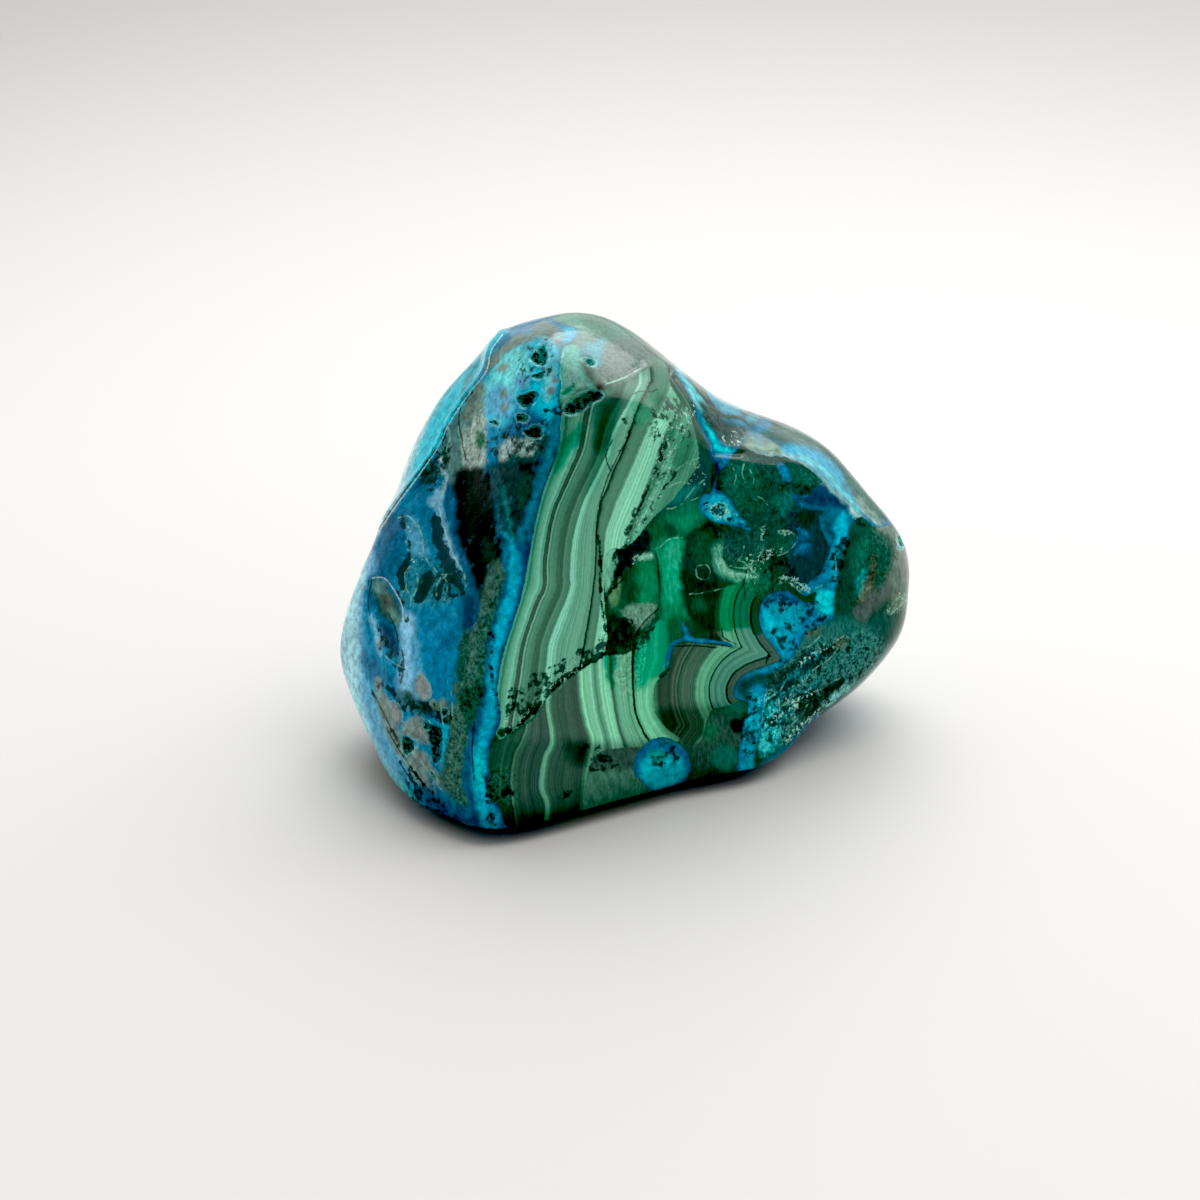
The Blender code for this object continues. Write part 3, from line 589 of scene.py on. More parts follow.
UNDER_PATCHES = (
    # knob top
    ((68, 112, 98), 4, ((530, 300), (548, 322), (576, 330), (572, 345), (566, 352), (590, 366),
                        (600, 384), (650, 366), (662, 358), (640, 330), (610, 300))),
    ((76, 130, 112), 4, ((542, 318), (575, 314), (586, 326), (600, 330), (578, 334), (556, 325))),
    ((66, 120, 108), 4, ((612, 318), (626, 330), (640, 346), (620, 336), (610, 326))),
    # painted sheen: grey reflection of the light on the knob's top
    ((88, 110, 104), 6, ((596, 350), (616, 340), (638, 340), (654, 352), (644, 368), (612, 380),
                         (600, 380), (596, 366))),
    ((60, 140, 150), 5, ((580, 350), (594, 342), (606, 340), (602, 352), (598, 366), (590, 356))),
    ((86, 160, 146), 3, ((563, 348), (573, 344), (580, 352), (582, 372), (592, 384), (600, 385),
                         (590, 393), (578, 396), (566, 402), (560, 396), (559, 366))),
    ((112, 156, 146), 4, ((566, 366), (573, 366), (579, 376), (588, 383), (582, 389), (568, 384))),
    (SAGE, 3, ((566, 399), (580, 388), (590, 388), (578, 398), (568, 406), (563, 410))),
    (DEEP_GREEN, 2, ((564, 412), (567, 403), (579, 394), (592, 389), (602, 390), (603, 397),
                     (590, 407), (583, 412), (570, 416))),
    (BROWN, 2, ((595, 387), (598, 380), (604, 384), (603, 393), (597, 396))),
    (EMERALD, 1, ((563, 392), (571, 384), (576, 382), (575, 385), (569, 391), (565, 395))),
    # painted highlight along the knob's fold
    ((90, 118, 108), 5, ((604, 388), (622, 378), (648, 364), (652, 372), (632, 384), (614, 396))),
    (MINT, 2, ((659, 358), (664, 360), (660, 372), (652, 384), (640, 396), (632, 404), (630, 398),
               (645, 383))),
    ((64, 92, 84), 4, ((630, 338), (652, 352), (664, 356), (676, 368), (682, 378), (672, 372),
                       (656, 358), (640, 350))),
    ((28, 66, 56), 3, ((662, 370), (668, 372), (682, 388), (690, 398), (684, 396), (672, 392),
                       (662, 384))),
    (FOREST, 4, ((664, 392), (680, 392), (690, 402), (690, 416), (676, 418), (664, 408))),
    # painted shade on the knob's right flank beside the valley, over its own deep green
    (DEEP_GREEN, 5, ((690, 400), (700, 420), (706, 450), (712, 476), (702, 484), (694, 460),
                     (690, 430))),
    # blue green window and the emerald curve under it
    (DARK_TEAL, 5, ((690, 446), (704, 452), (712, 480), (704, 492), (684, 502), (666, 508), (650, 520),
                    (664, 492), (680, 468))),
    (TEAL, 5, ((668, 498), (684, 488), (700, 486), (694, 496), (676, 504))),
    ((4, 98, 70), 5, ((672, 510), (700, 500), (706, 514), (700, 524), (688, 534), (676, 536),
                      (660, 544), (654, 548), (656, 528))),
    ((10, 118, 82), 3, ((680, 519), (690, 515), (698, 517), (688, 526), (680, 528))),
    (FOREST, 4, ((650, 530), (662, 520), (668, 524), (662, 540), (650, 546))),
    (DEEP_GREEN, 4, ((664, 526), (674, 524), (676, 536), (666, 542))),
    # dark rock between the fields
    ((16, 32, 36), 3, ((613, 546), (630, 540), (648, 530), (650, 548), (642, 556), (628, 576),
                       (616, 590), (606, 600), (604, 560))),
    (MINT, 2, ((602, 549), (614, 549), (616, 564), (611, 586), (605, 592), (601, 572))),
    ((104, 162, 138), 3, ((632, 558), (644, 553), (652, 554), (650, 560), (636, 564))),
    # emerald columns
    (FOREST, 3, ((622, 580), (632, 562), (652, 560), (659, 582), (658, 606), (640, 612), (620, 622),
                 (612, 600))),
    (EMERALD, 5, ((640, 566), (652, 564), (657, 590), (650, 606), (640, 600))),
    (DEEP_GREEN, 4, ((622, 572), (632, 566), (636, 590), (626, 606), (620, 592))),
    ((72, 118, 84), 3, ((612, 582), (620, 580), (620, 596), (614, 608), (609, 600))),
    (EMERALD, 4, ((654, 548), (682, 538), (682, 570), (684, 600), (690, 614), (680, 624), (662, 622),
                  (660, 600), (661, 576))),
    ((30, 136, 104), 4, ((667, 544), (679, 540), (679, 590), (672, 604), (664, 590))),
    (SAGE, 3, ((622, 612), (634, 604), (650, 603), (657, 607), (648, 622), (638, 630), (628, 622))),
    (EMERALD, 6, ((652, 630), (664, 620), (672, 640), (666, 660), (654, 670), (640, 668), (638, 644))),
    (FOREST, 5, ((666, 620), (682, 616), (686, 632), (674, 642), (664, 640))),
    ((4, 40, 30), 3, ((602, 618), (612, 613), (624, 618), (634, 626), (637, 634), (630, 642),
                      (618, 649), (606, 655), (598, 656), (601, 640))),
    ((40, 100, 72), 2, ((638, 640), (650, 628), (656, 626), (652, 640), (642, 650))),
    # orb and the black green around it
    ((2, 40, 28), 4, ((682, 560), (688, 536), (702, 526), (720, 526), (724, 560), (720, 590),
                      (720, 626), (706, 630), (690, 616), (682, 596))),
    ((2, 60, 38), 5, oval(704, 548, 12, 18, 0)),
    ((0, 70, 48), 5, oval(700, 606, 8, 8, 0)),
    ((40, 50, 40), 4, ((706, 634), (722, 630), (732, 640), (726, 646), (712, 642))),
    # fields right of the orb
    ((30, 66, 60), 6, ((722, 530), (744, 534), (762, 536), (770, 560), (752, 560), (736, 562),
                       (724, 552))),
    (FOREST, 5, ((744, 560), (760, 556), (764, 584), (758, 600), (748, 600))),
    ((4, 88, 62), 4, ((756, 566), (768, 564), (770, 584), (760, 588))),
    # lobe
    ((6, 66, 56), 6, ((720, 470), (738, 456), (780, 458), (810, 472), (824, 484), (800, 500),
                      (790, 540), (740, 540), (730, 500))),
    ((12, 84, 68), 6, ((724, 480), (740, 462), (756, 462), (760, 490), (744, 506), (734, 500))),
    ((4, 76, 62), 6, ((788, 460), (806, 470), (822, 484), (806, 488), (790, 478))),
    (BLACK_GREEN, 4, ((792, 482), (808, 484), (824, 486), (816, 494), (798, 494))),
    ((4, 72, 56), 4, oval(758, 508, 8, 9, 20)),
    ((2, 88, 74), 4, oval(780, 500, 8, 10, 0)),
    (TEAL, 2, ((784, 494), (792, 495), (791, 510), (784, 518), (781, 508))),
    ((4, 56, 60), 5, ((790, 506), (820, 508), (830, 516), (820, 522), (826, 540), (834, 556),
                      (826, 576), (800, 590), (786, 572), (784, 540))),
    (BLACK_GREEN, 5, oval(806, 518, 11, 8, 0)),
    (BLACK_GREEN, 5, oval(774, 560, 13, 9, 20)),
    ((24, 66, 58), 5, oval(744, 538, 12, 11, 0)),
    ((34, 82, 70), 4, oval(758, 552, 6, 12, 0)),
    ((4, 74, 58), 3, ((778, 536), (798, 536), (786, 550), (774, 554))),
    (BLUE, 3, oval(803, 536, 8, 3.5, -20)),
    (BLUE, 4, oval(802, 548, 10, 5, 40)),
    ((52, 124, 100), 4, streak(5, (719, 546), (718, 562), (724, 572), (738, 577), (754, 575))),
    ((92, 152, 128), 3, streak(2.4, (720, 562), (728, 572), (744, 576))),
    ((0, 74, 54), 4, oval(764, 572, 5, 10, 10)),
    # between the streak and the nose
    ((2, 66, 54), 5, ((846, 530), (858, 520), (872, 530), (878, 546), (872, 560), (862, 574),
                      (856, 600), (838, 620), (838, 576), (846, 552))),
    ((0, 92, 74), 5, oval(860, 556, 6, 18, 20)),
    ((14, 132, 128), 2.5, ((857, 578), (866, 569), (867, 580), (862, 592), (857, 594))),
    ((56, 60, 46), 3, streak(3, (874, 556), (872, 570), (866, 584))),
    ((86, 98, 78), 3, ((858, 600), (862, 588), (870, 582), (872, 588), (866, 600))),
    # painted sheen: grey reflection of the light on the nose, over its grey-brown; the pale oval below
    # adds to it
    ((84, 104, 94), 5, ((876, 522), (901, 526), (914, 540), (920, 575), (914, 600), (886, 596),
                        (890, 566), (888, 540), (880, 533))),
    ((104, 112, 104), 4, oval(904, 560, 4, 22, -4)),
    ((60, 78, 68), 2, oval(900.7, 541, 3, 5, 0)),
    ((16, 68, 54), 4, ((876, 538), (888, 536), (894, 548), (890, 566), (878, 578), (876, 560))),
    ((64, 82, 78), 5, ((852, 612), (866, 598), (884, 584), (894, 590), (880, 606), (862, 622))),
    ((78, 100, 84), 4, ((886, 612), (900, 592), (908, 594), (904, 610), (892, 620))),
    ((20, 66, 58), 5, ((858, 630), (880, 614), (908, 610), (902, 640), (884, 660), (860, 654))),
    # painted reflection: grey rim of light along the right silhouette
    ((80, 100, 92), 4, streak(4, (912, 596), (908, 622), (898, 644), (884, 662))),
    # lower right
    ((40, 92, 86), 6, ((796, 640), (834, 616), (868, 628), (886, 660), (850, 690), (812, 720),
                       (770, 750), (758, 730), (766, 690), (784, 664))),
    ((66, 84, 70), 4, oval(810, 632, 9, 4, -10)),
    ((62, 84, 70), 4, oval(840, 643, 9, 5, -20)),
    ((12, 40, 36), 5, ((770, 680), (790, 664), (812, 648), (822, 656), (800, 678), (780, 694))),
    ((16, 112, 120), 4, streak(4, (768, 702), (784, 690), (800, 672), (816, 656))),
    ((10, 96, 100), 4, streak(3, (766, 730), (782, 716), (800, 700), (816, 684))),
    ((12, 44, 36), 5, ((796, 700), (826, 684), (846, 684), (836, 700), (812, 720), (796, 716))),
    ((36, 142, 146), 5, ((762, 700), (774, 704), (780, 722), (776, 746), (760, 752))),
    ((86, 150, 146), 3, streak(3, (852, 682), (838, 694), (826, 704))),
    ((4, 92, 110), 4, streak(4, (764, 766), (782, 754), (800, 738), (818, 718))),
    # foot
    ((46, 70, 62), 5, ((560, 744), (590, 742), (640, 744), (650, 760), (630, 772), (590, 770))),
    ((60, 102, 86), 4, ((584, 776), (606, 770), (640, 772), (652, 788), (628, 802), (584, 816))),
    ((42, 70, 60), 5, ((652, 720), (690, 716), (728, 712), (746, 724), (744, 760), (700, 800),
                       (680, 790), (692, 766), (680, 742))),
    ((36, 88, 66), 4, oval(711, 731, 7, 10, 0)),
    ((28, 80, 64), 4, oval(736, 708, 12, 7, 0)),
    ((22, 26, 22), 2, ((730, 722), (738, 719), (745, 724), (743, 733), (734, 733))),
    ((26, 90, 78), 4, oval(724, 758, 12, 14, 10)),
    ((20, 60, 52), 4, oval(716, 776, 12, 7, 20)),
)
# Glazes tint the malachite bands, and the last five paint shade on them towards the foot: red, green
# and blue shares that stay, fade in pixels, outline.
GLAZES_AND_FOOT_SHADE = (
    (0.34, 0.52, 0.5, 6, ((594, 412), (604, 396), (622, 392), (626, 402), (616, 424), (610, 444),
                          (600, 452), (594, 446))),
    (0.6, 0.82, 0.78, 6, ((596, 450), (612, 436), (604, 470), (590, 492), (584, 490))),
    (0.75, 0.72, 0.7, 4, ((562, 416), (583, 412), (580, 430), (570, 444), (558, 446))),
    (0.16, 0.72, 0.62, 5, ((556, 448), (566, 440), (580, 424), (580, 440), (568, 458), (556, 474))),
    (0.5, 0.95, 0.8, 5, ((636, 392), (660, 390), (658, 408), (644, 424), (634, 420))),
    (0.6, 0.7, 0.66, 4, ((656, 396), (684, 396), (696, 430), (690, 460), (676, 470), (668, 440),
                         (676, 420), (662, 420))),
    (0.03, 0.62, 0.46, 2, ((700, 560), (752, 560), (800, 580), (800, 600), (760, 634), (748, 629),
                           (722, 630), (700, 628))),
    (0.18, 0.6, 0.54, 6, ((640, 620), (672, 620), (672, 652), (664, 672), (650, 682), (636, 690),
                          (634, 660))),
    (0.06, 0.5, 0.42, 4, ((603, 654), (616, 654), (614, 676), (612, 690), (605, 672))),
    # Painted shade: the last five glazes darken the lower bands towards the foot, where the faces turn
    # down to the floor.
    (0.5, 0.46, 0.48, 7, ((566, 744), (590, 742), (612, 742), (640, 740), (668, 744), (700, 752),
                          (700, 772), (650, 774), (600, 772), (572, 762))),
    (0.55, 0.52, 0.52, 7, ((656, 712), (690, 706), (712, 704), (730, 708), (734, 742), (690, 750),
                           (668, 740))),
    (0.62, 0.74, 0.68, 6, ((584, 778), (606, 772), (640, 774), (652, 790), (628, 800), (584, 814))),
    (0.74, 0.8, 0.8, 7, ((486, 744), (520, 740), (600, 744), (590, 800), (560, 836), (490, 836))),
    (0.55, 0.62, 0.6, 8, ((490, 806), (560, 812), (700, 776), (700, 840), (480, 850))),
)

# ---------------------------------------------------------------- dark and pale marks
# RUNS: half width in pixels, then the run that a mark follows. PATCHES: how densely noise fills the
# outline with crumbs, from about -0.6 for a few to CLOSED for no gaps, then the outline.
DARK_RUNS = (
    (2.4, ((500, 734), (516, 726), (530, 714))),
    (2.6, ((530, 714), (545, 697), (560, 680))),
    (3.2, ((560, 680), (579, 668), (602, 654))),
    (1.6, ((597, 536), (600, 556), (600, 590), (603, 616), (606, 632))),
    (2.0, ((660, 676), (668, 670))),
    (1.3, ((766, 664), (768, 655), (771, 652))),
    # left flank
    (1.6, ((434, 512), (438, 524), (440, 540), (446, 556), (452, 566))),
    (2.4, ((402, 517), (404, 528))),
    (2.2, ((410, 542), (409, 556), (406, 572), (402, 588))),
    (1.6, ((414, 592), (424, 588), (432, 576), (446, 574), (462, 580))),
    (1.2, ((396, 590), (402, 602), (408, 614), (406, 622))),
    (1.2, ((446, 590), (444, 602))),
    (1.2, ((371, 612), (378, 628), (388, 646), (400, 656))),
    (1.4, ((402, 648), (403, 660), (400, 676))),
    (1.6, ((386, 684), (392, 692), (396, 700))),
    (1.3, ((478, 384), (466, 398), (456, 412), (446, 430), (439, 446), (428, 462))),
    (1.0, ((372, 690), (378, 706), (386, 722))),
    (1.2, ((352, 700), (354, 712), (358, 722))),
    (1.6, ((390, 728), (398, 742), (408, 762), (420, 780), (432, 796), (446, 808))),
    (1.3, ((398, 760), (408, 776), (420, 790), (434, 804))),
    (1.3, ((452, 562), (456, 572), (464, 580))),
)
DARK_PATCHES = (
    (-0.1, ((606, 622), (620, 616), (632, 622), (637, 634), (630, 648), (618, 654), (606, 652))),
    (0.3, ((636, 640), (650, 628), (655, 626), (651, 640), (642, 649), (636, 650))),
    (0.6, ((615, 550), (632, 542), (646, 534), (647, 546), (630, 570), (618, 588), (609, 596),
           (612, 570))),
    # left flank
    (CLOSED, ((434, 513), (441, 520), (445, 536), (450, 552), (456, 566), (446, 568), (438, 554),
              (432, 536))),
    (CLOSED, ((400, 566), (408, 556), (411, 566), (405, 578), (408, 588), (402, 592), (398, 580))),
    (CLOSED, ((416, 590), (424, 584), (430, 590), (424, 600), (416, 604), (412, 598))),
    (CLOSED, ((424, 576), (431, 570), (435, 578), (430, 588), (424, 584))),
    (CLOSED, ((433, 590), (441, 584), (443, 594), (437, 602), (432, 598))),
    (CLOSED, ((443, 566), (452, 562), (458, 570), (455, 578), (462, 582), (464, 592), (456, 590),
              (447, 580))),
    (0.1, ((436, 548), (446, 552), (452, 566), (468, 576), (466, 594), (448, 598), (438, 580))),
    (0.0, ((440, 446), (452, 448), (446, 470), (438, 486), (424, 492), (414, 486), (424, 466))),
    (0.5, ((399, 702), (416, 699), (436, 704), (452, 712), (450, 724), (438, 722), (420, 717),
           (402, 712))),
    (-0.4, ((396, 742), (404, 756), (416, 774), (430, 788), (440, 804), (424, 804), (408, 786),
            (396, 764))),
    (-0.2, ((372, 614), (386, 636), (402, 654), (406, 670), (392, 668), (378, 648))),
    (0.0, ((406, 790), (430, 796), (452, 812), (462, 824), (440, 820), (418, 808))),
    (-0.2, ((376, 678), (388, 680), (396, 696), (392, 702), (380, 692))),
    # foot
    (-0.1, ((578, 745), (594, 744), (606, 752), (618, 766), (604, 770), (588, 770))),
    (0.4, ((555, 800), (566, 790), (577, 783), (574, 792), (562, 800))),
    (0.0, ((484, 776), (496, 770), (510, 784), (512, 798), (498, 806), (486, 800))),
    # knob
    (0.5, ((545, 408), (556, 404), (565, 406), (560, 415), (550, 414))),
    (-0.3, ((486, 446), (500, 428), (520, 424), (544, 420), (551, 412), (549, 436), (540, 452),
            (520, 462), (500, 462))),
    (-0.3, ((516, 356), (530, 344), (548, 338), (554, 352), (550, 372), (536, 382), (522, 384))),
    # lobe
    (0.6, ((833, 548), (838, 546), (836, 570), (832, 588), (828, 582))),
    (0.4, ((838, 540), (848, 536), (846, 560), (842, 582), (846, 592), (838, 596), (838, 570))),
    (0.6, ((855, 518), (862, 520), (864, 528), (856, 524))),
    (0.2, ((772, 628), (790, 634), (796, 646), (786, 652), (776, 640))),
    (-0.3, ((768, 672), (800, 648), (838, 640), (870, 640), (880, 656), (850, 686), (806, 720),
            (772, 744), (762, 730), (766, 700))),
    (0.8, streak(4, (780, 692), (806, 669), (832, 652))),
    (0.6, streak(4, (802, 710), (826, 692), (850, 674))),
    (0.6, streak(4, (766, 726), (776, 712), (790, 700))),
    (0.0, ((704, 412), (714, 410), (724, 422), (736, 424), (744, 432), (736, 446), (724, 442),
           (712, 428))),
    (0.3, ((703, 504), (712, 502), (728, 508), (740, 520), (746, 527), (732, 522), (716, 514),
           (704, 510))),
    (-0.2, ((762, 554), (786, 556), (794, 570), (780, 582), (762, 578))),
    (-0.1, ((784, 604), (810, 600), (824, 606), (824, 624), (800, 636), (786, 630))),
    (-0.2, ((764, 602), (776, 596), (800, 600), (796, 612), (776, 616))),
    (-0.3, ((648, 748), (664, 744), (680, 750), (680, 764), (664, 768), (650, 762))),
    (-0.2, ((742, 700), (754, 692), (760, 710), (754, 750), (744, 760))),
    # across the malachite
    (-0.1, ((650, 414), (662, 398), (676, 398), (678, 416), (664, 432), (650, 446))),
    (0.4, ((655, 462), (664, 438), (669, 436), (660, 464), (648, 494), (636, 520), (628, 534),
           (626, 530), (640, 500))),
    (-0.1, ((672, 440), (690, 424), (692, 444), (676, 474), (656, 504), (640, 530), (630, 545),
            (650, 500))),
    (0.1, ((626, 412), (634, 408), (636, 420), (630, 434), (626, 428))),
    (0.1, ((620, 442), (628, 438), (626, 448), (620, 452))),
    (-0.1, ((486, 640), (494, 636), (496, 690), (520, 720), (512, 734), (500, 736), (496, 720))),
    (0.1, ((510, 690), (524, 680), (540, 672), (556, 664), (580, 650), (604, 636), (602, 652),
           (580, 668), (556, 682), (540, 700), (516, 726), (506, 720))),
    (0.4, ((488, 814), (495, 814), (496, 830), (488, 830))),
)
# Thin lines: the painted glints along the ridge's crest and the oval inclusion's edge, pale veinlets
# and dark cracks.
GLINT_LINES = (
    RIDGE_LINE,
    ((372, 578), (384, 578), (394, 590), (402, 606), (403, 620)),
)
PALE_LINES = (
    # painted highlight along the fold between the lobe and the nose
    ((850, 500), (864, 512), (879, 526)),
    # left flank
    ((438, 498), (441, 516), (448, 540), (456, 560), (464, 574), (466, 586)),
    ((406, 586), (405, 574), (411, 566), (417, 574), (417, 586), (412, 596), (406, 588)),
    ((400, 608), (401, 596), (406, 590), (411, 596), (410, 606)),
    ((436, 596), (438, 582), (444, 578), (448, 586), (444, 600)),
    ((418, 524), (422, 536), (424, 552), (430, 566)),
    ((432, 566), (440, 574), (452, 574)),
    ((398, 518), (408, 516), (416, 524)),
    ((379, 650), (392, 662), (404, 668)),
    ((415, 676), (420, 674), (428, 682), (431, 694), (427, 700)),
    ((388, 702), (396, 701), (402, 712), (402, 722)),
    ((352, 640), (356, 668), (362, 690)),
    ((447, 424), (450, 436), (446, 452)),
    ((458, 426), (461, 446), (463, 466)),
    ((404, 729), (412, 718), (422, 718)),
    ((410, 750), (420, 760), (434, 780), (446, 796)),
    ((440, 700), (442, 716), (443, 728)),
    ((448, 680), (452, 700), (452, 716)),
    # knob; the first line is the painted highlight along its fold
    ((606, 384), (625, 377), (641, 368)),
    ((563, 352), (560, 370), (562, 386)),
    ((562, 412), (564, 404), (577, 394), (592, 388)),
    # centre
    ((667, 509), (674, 508), (685, 502.5), (700, 497)),
    ((651, 549), (660, 547), (669, 539), (682, 537)),
    ((690, 594), (698, 594), (704, 592.5), (726, 588)),
    ((546, 700), (556, 692), (566, 680)),
    ((696, 569), (698, 566), (703, 564.5), (708, 566), (710, 572), (708, 578), (703, 579), (697, 577),
     (696, 570)),
    ((668, 488), (680, 482), (690, 484)),
    ((676, 470), (688, 462), (700, 458)),
    ((684, 502), (694, 488), (704, 480)),
    # shell and fractures of the lobe
    ((720, 545), (716, 556), (718, 566), (726, 574)),
    ((723, 548), (720, 558), (724, 568)),
    ((722, 568), (732, 574), (744, 574), (752, 578)),
    ((730, 566), (744, 568), (756, 564)),
    ((738, 560), (746, 564), (754, 572)),
    ((744, 546), (742, 556), (736, 562)),
    ((733, 468), (736, 476), (734, 486), (738, 494)),
    ((744, 464), (742, 474), (746, 482)),
    ((750, 470), (754, 480), (751, 490), (756, 500)),
    ((757, 496), (764, 500), (768, 506)),
    ((760, 528), (762, 534), (760, 542)),
    ((778, 531), (786, 530), (794, 534)),
    ((780, 534), (790, 532), (797, 537)),
    ((778, 556), (790, 550), (797, 541)),
    ((779, 578), (790, 578), (800, 584), (808, 592)),
    ((776, 584), (788, 582), (802, 594)),
    ((835.4, 555), (836, 570), (835, 585)),
    ((816, 588), (822, 585), (830, 584)),
    ((886, 612), (896, 600), (906, 594)),
    ((890, 615), (900, 606), (906, 600)),
    ((800, 650), (812, 644), (822, 634)),
    ((812, 670), (828, 660), (838, 648)),
    ((770, 716), (782, 706), (798, 698)),
    ((820, 690), (836, 680), (850, 672)),
    ((766, 700), (780, 690), (786, 680)),
    ((784, 732), (800, 716), (808, 704)),
)
DARK_LINES = (
    ((656, 553), (658, 566), (659, 582), (659, 606), (650, 616), (643, 624), (633, 642), (633, 680),
     (636, 714), (646, 738)),
    ((558, 452), (553, 464), (550, 472)),
    ((634, 394), (640, 391), (648, 392), (657, 390)),
    ((608, 382), (625, 376), (641, 366)),
    ((672, 646), (684, 646), (700, 646), (716, 648)),
    ((629, 436), (612, 468), (602, 494), (597, 520), (596, 536)),
    ((612, 440), (606, 456), (610, 470)),
    ((474, 722), (472, 750), (474, 780)),
    ((375, 536), (389, 514), (412, 481), (436, 450)),
    ((768, 655), (766, 664)),
    ((461, 404), (459, 420), (462, 440), (466, 460)),
    ((370, 616), (368, 600), (372, 580)),
    ((388, 612), (396, 630), (398, 642)),
    ((402, 650), (404, 668), (400, 684)),
    ((372, 690), (380, 706), (390, 726)),
    ((386, 728), (398, 748), (414, 772), (434, 796)),
    ((736, 644), (724, 638), (722, 628)),
    ((746, 600), (744, 584), (748, 566)),
    ((600, 540), (600, 556), (602, 572)),
    ((606, 600), (612, 590), (624, 578)),
)
PALE_PATCHES = (
    (-0.2, ((717, 546), (721, 548), (720, 566), (726, 572), (740, 570), (752, 570), (744, 576),
            (730, 576), (720, 570), (715, 560))),
    (0.1, ((744, 566), (760, 560), (762, 566), (756, 584), (750, 578))),
    (0.2, ((746, 556), (764, 550), (778, 548), (784, 552), (770, 560), (752, 566))),
    (0.3, ((777, 530), (788, 528), (795, 533), (786, 536))),
    (0.6, ((780, 577), (792, 575), (806, 584), (812, 594), (800, 590), (786, 584))),
    (0.6, ((760, 528), (764, 528), (765, 540), (760, 542))),
    (0.2, ((632, 558), (648, 552), (652, 555), (640, 562), (632, 564))),
    (-0.2, ((618, 540), (640, 512), (660, 480), (668, 480), (652, 512), (634, 540), (622, 552))),
    (-0.2, ((664, 430), (690, 404), (694, 420), (676, 452), (660, 490), (650, 496))),
    (-0.3, ((686, 462), (700, 466), (706, 484), (690, 482))),
    (-0.2, ((504, 724), (530, 704), (556, 676), (580, 660), (584, 666), (560, 684), (540, 702),
            (516, 726))),
    (-0.6, ((764, 694), (792, 684), (820, 670), (812, 700), (784, 726), (764, 740))),
    (0.3, streak(3, (772, 722), (792, 704), (816, 690))),
    (0.3, streak(3, (786, 742), (806, 722), (826, 704))),
    (0.2, streak(3, (800, 664), (824, 648), (846, 636))),
    (-0.1, ((706, 504), (724, 504), (738, 516), (724, 520), (708, 512))),
    (-0.3, ((724, 432), (736, 430), (744, 438), (734, 448), (724, 442))),
    (-0.3, ((886, 606), (900, 592), (906, 592), (902, 610), (890, 614))),
    (-0.2, ((426, 722), (436, 726), (430, 732), (422, 728))),
    (-0.4, ((410, 520), (420, 530), (424, 560), (412, 560), (404, 540))),
)
# Rough and grainy ground: the strength of its grain and its outline.
GRAINY = (
    (0.6, ((500, 566), (504, 584), (495, 616), (487, 646), (484, 686), (470, 728), (463, 780),
           (468, 806), (446, 790), (448, 720), (460, 690), (462, 644), (480, 610))),
    (0.6, ((508, 444), (540, 440), (538, 458), (500, 460))),
    (0.6, ((462, 420), (486, 410), (487, 460), (464, 470))),
    (0.3, ((460, 470), (490, 466), (536, 464), (530, 500), (506, 560), (480, 596), (466, 540))),
    (0.7, ((420, 478), (438, 450), (448, 470), (440, 490))),
    (0.8, ((760, 690), (800, 650), (870, 630), (890, 660), (830, 710), (760, 760))),
    (0.5, ((720, 470), (740, 456), (780, 460), (820, 480), (800, 520), (780, 600), (720, 560))),
    (0.4, ((404, 554), (450, 580), (450, 604), (406, 598))),
    (0.5, ((866, 530), (892, 530), (892, 570), (870, 600), (850, 600))),
    (0.5, ((480, 770), (514, 770), (514, 810), (484, 806))),
    (0.4, ((604, 620), (640, 600), (656, 610), (636, 700), (604, 660))),
)


# ---------------------------------------------------------------- distances and noise
def smooth_step(start, full, values):
    """0 at the start, 1 where it is full, and a smooth change between them."""
    part = np.clip((values - start) / (full - start), 0.0, 1.0)
    return part * part * (3.0 - 2.0 * part)


def curve_through(run, closed=False, steps=4):
    """A rounded run that passes through every given point."""
    knots = np.asarray(run, dtype=float)
    if closed:
        before = np.roll(knots, 1, axis=0)
        after = np.roll(knots, -1, axis=0)
        beyond = np.roll(knots, -2, axis=0)
    else:
        before = np.vstack((2.0 * knots[0] - knots[1], knots[:-2]))
        beyond = np.vstack((knots[2:], 2.0 * knots[-1] - knots[-2]))
        after = knots[1:]
        knots = knots[:-1]
    part = (np.arange(steps) / steps)[None, :, None]
    first, second, third, fourth = (each[:, None, :] for each in (before, knots, after, beyond))
    bend = (2.0 * first - 5.0 * second + 4.0 * third - fourth) * part ** 2
    twist = (3.0 * second - first - 3.0 * third + fourth) * part ** 3
    points = second + 0.5 * ((third - first) * part + bend + twist)
    points = points.reshape(-1, knots.shape[1])
    return points if closed else np.vstack((points, after[-1]))


def near_run(chart, run):
    """Which places lie in a run's box, with a margin around it."""
    return np.all((chart > run.min(axis=0) - FAR_PX) & (chart < run.max(axis=0) + FAR_PX), axis=1)


def steps_to_segment(chart, start, end):
    """Step from each place to the nearest point of a straight segment."""
    side = end - start
    part = np.clip((chart - start) @ side / (side @ side), 0.0, 1.0)
    return start + part[:, None] * side - chart


def run_distance(chart, run):
    """Distance from each place to an open run."""
    nearest = np.full(len(chart), np.inf)
    for start, end in zip(run[:-1], run[1:]):
        gap = steps_to_segment(chart, start, end)
        nearest = np.minimum(nearest, np.einsum("ij,ij->i", gap, gap))
    return np.sqrt(nearest)


